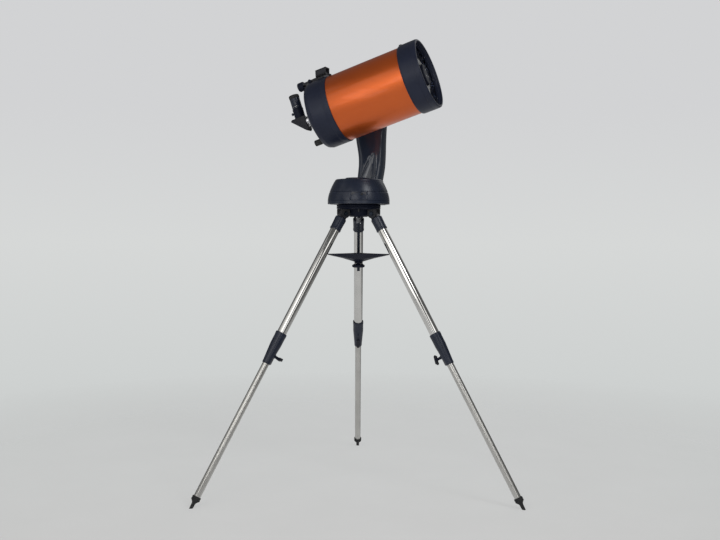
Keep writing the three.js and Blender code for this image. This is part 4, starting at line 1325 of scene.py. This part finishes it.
def surroundings():
    """What the metal and the gloss reflect: a dim room, a bright wall behind, and a pale ground that
    starts lower on the right."""
    world = bpy.data.worlds.new("studio")
    bpy.context.scene.world = world
    world.use_nodes = True
    tree = world.node_tree
    parts = generated_parts(tree)
    wall_behind = ramp(tree, parts.outputs["Y"], [(0.88, 0.0), (0.97, 0.42)])
    rightwards = calculate(tree, "MAXIMUM", parts.outputs["X"], 0.0)
    raised = calculate(tree, "MULTIPLY_ADD", rightwards, 0.6, parts.outputs["Z"])
    downwards = calculate(tree, "MULTIPLY", raised, -1.0)
    ground = ramp(tree, downwards, [(0.0, 0.0), (0.12, 0.42)])
    brightest = calculate(tree, "MAXIMUM", wall_behind, ground)
    background = tree.nodes["Background"]
    background.inputs["Color"].default_value = (0.97, 0.985, 1.0, 1)
    tree.links.new(calculate(tree, "ADD", brightest, 0.13), background.inputs["Strength"])


def panel(name, target, direction, distance, size, radiance, across=(1, 0, 0), colour=(1, 1, 1)):
    """A rectangular light facing target from a direction, its width turned along across."""
    back = Vector(direction).normalized()
    width = Vector(across)
    width = (width - back * width.dot(back)).normalized()
    height = back.cross(width)
    data = bpy.data.lights.new(name, "AREA")
    data.shape = "RECTANGLE"
    data.size, data.size_y = size
    data.energy = radiance * math.pi * size[0] * size[1]
    data.color = colour
    light = added(name, data)
    at = Vector(target) + back * distance
    light.matrix_world = Matrix.Translation(at) @ Matrix((width, height, back)).transposed().to_4x4()
    light.visible_camera = False


def strip(name, start, end, target, width, radiance):
    """A long light from start to end, facing target."""
    start, end, target = Vector(start), Vector(end), Vector(target)
    middle = (start + end) / 2
    length = (end - start).length
    across = (middle - target).cross(end - start)
    panel(name, target, middle - target, (middle - target).length, (width, length), radiance, across)


def studio():
    floor()
    backdrop()
    surroundings()
    tube_middle = IN_TUBE @ Vector((66, 0, 0))
    tube_line = IN_TUBE.to_3x3() @ Vector((1, 0, 0))
    head = IN_STAND @ Vector((0, 0, 1000))
    key_side = (-0.649, -0.719, 0.25)
    panel("key_panel", tube_middle, key_side, 3.0, (1.9, 2.5), 0.89, tube_line, (1, 0.985, 0.96))
    panel("upper_right", head, (0.46, -0.6, 0.66), 3.0, (1.2, 1.0), 4.2, (1, 0, 0), (0.95, 0.97, 1))
    panel("left_rim", head, (-1, -0.15, 0.4), 3.0, (1.2, 2.8), 0.4, (0, 1, 0))
    panel("rear_fill", head, (0.5, 0.75, 0.6), 3.4, (2.0, 2.0), 0.5)
    left_knee = IN_STAND @ Vector((-300, -200, 450))
    right_knee = IN_STAND @ Vector((300, -200, 450))

    def spot(x, z):
        """A place on the wall of lights behind the camera."""
        return IN_STAND @ Vector((x, -3250, z))

    strip("tube_low_strip", spot(-2850, 1970), spot(-1300, -50), right_knee, 0.6, 1.2)
    strip("left_leg_front_strip", spot(-620, 3200), spot(-1400, 1080), left_knee, 0.8, 1.35)
    strip("left_leg_side_strip", spot(1980, 2220), spot(700, 50), left_knee, 0.8, 1.5)
    strip("right_leg_front_strip", spot(-950, 2680), spot(180, 540), right_knee, 0.8, 1.35)
    strip("right_leg_side_strip", spot(2400, 5000), spot(3400, 1700), right_knee, 1.0, 1.4)


def camera():
    """The view from in front, looking slightly down."""
    data = bpy.data.cameras.new("camera")
    data.sensor_width = 36
    data.lens = 48.3
    data.shift_x = CAMERA_SHIFT
    data.clip_end = 60
    view = added("camera", data)
    view.matrix_world = (
        Matrix.Translation((AXIS.x, AXIS.y - CAMERA_BACK, CAMERA_HEIGHT))
        @ Matrix.Rotation(math.pi / 2 - CAMERA_TILT, 4, "X")
        @ spin(CAMERA_ROLL)
    )
    bpy.context.scene.camera = view


studio()
camera()
scene_settings = bpy.context.scene.view_settings
scene_settings.view_transform = "Standard"
scene_settings.look = "None"
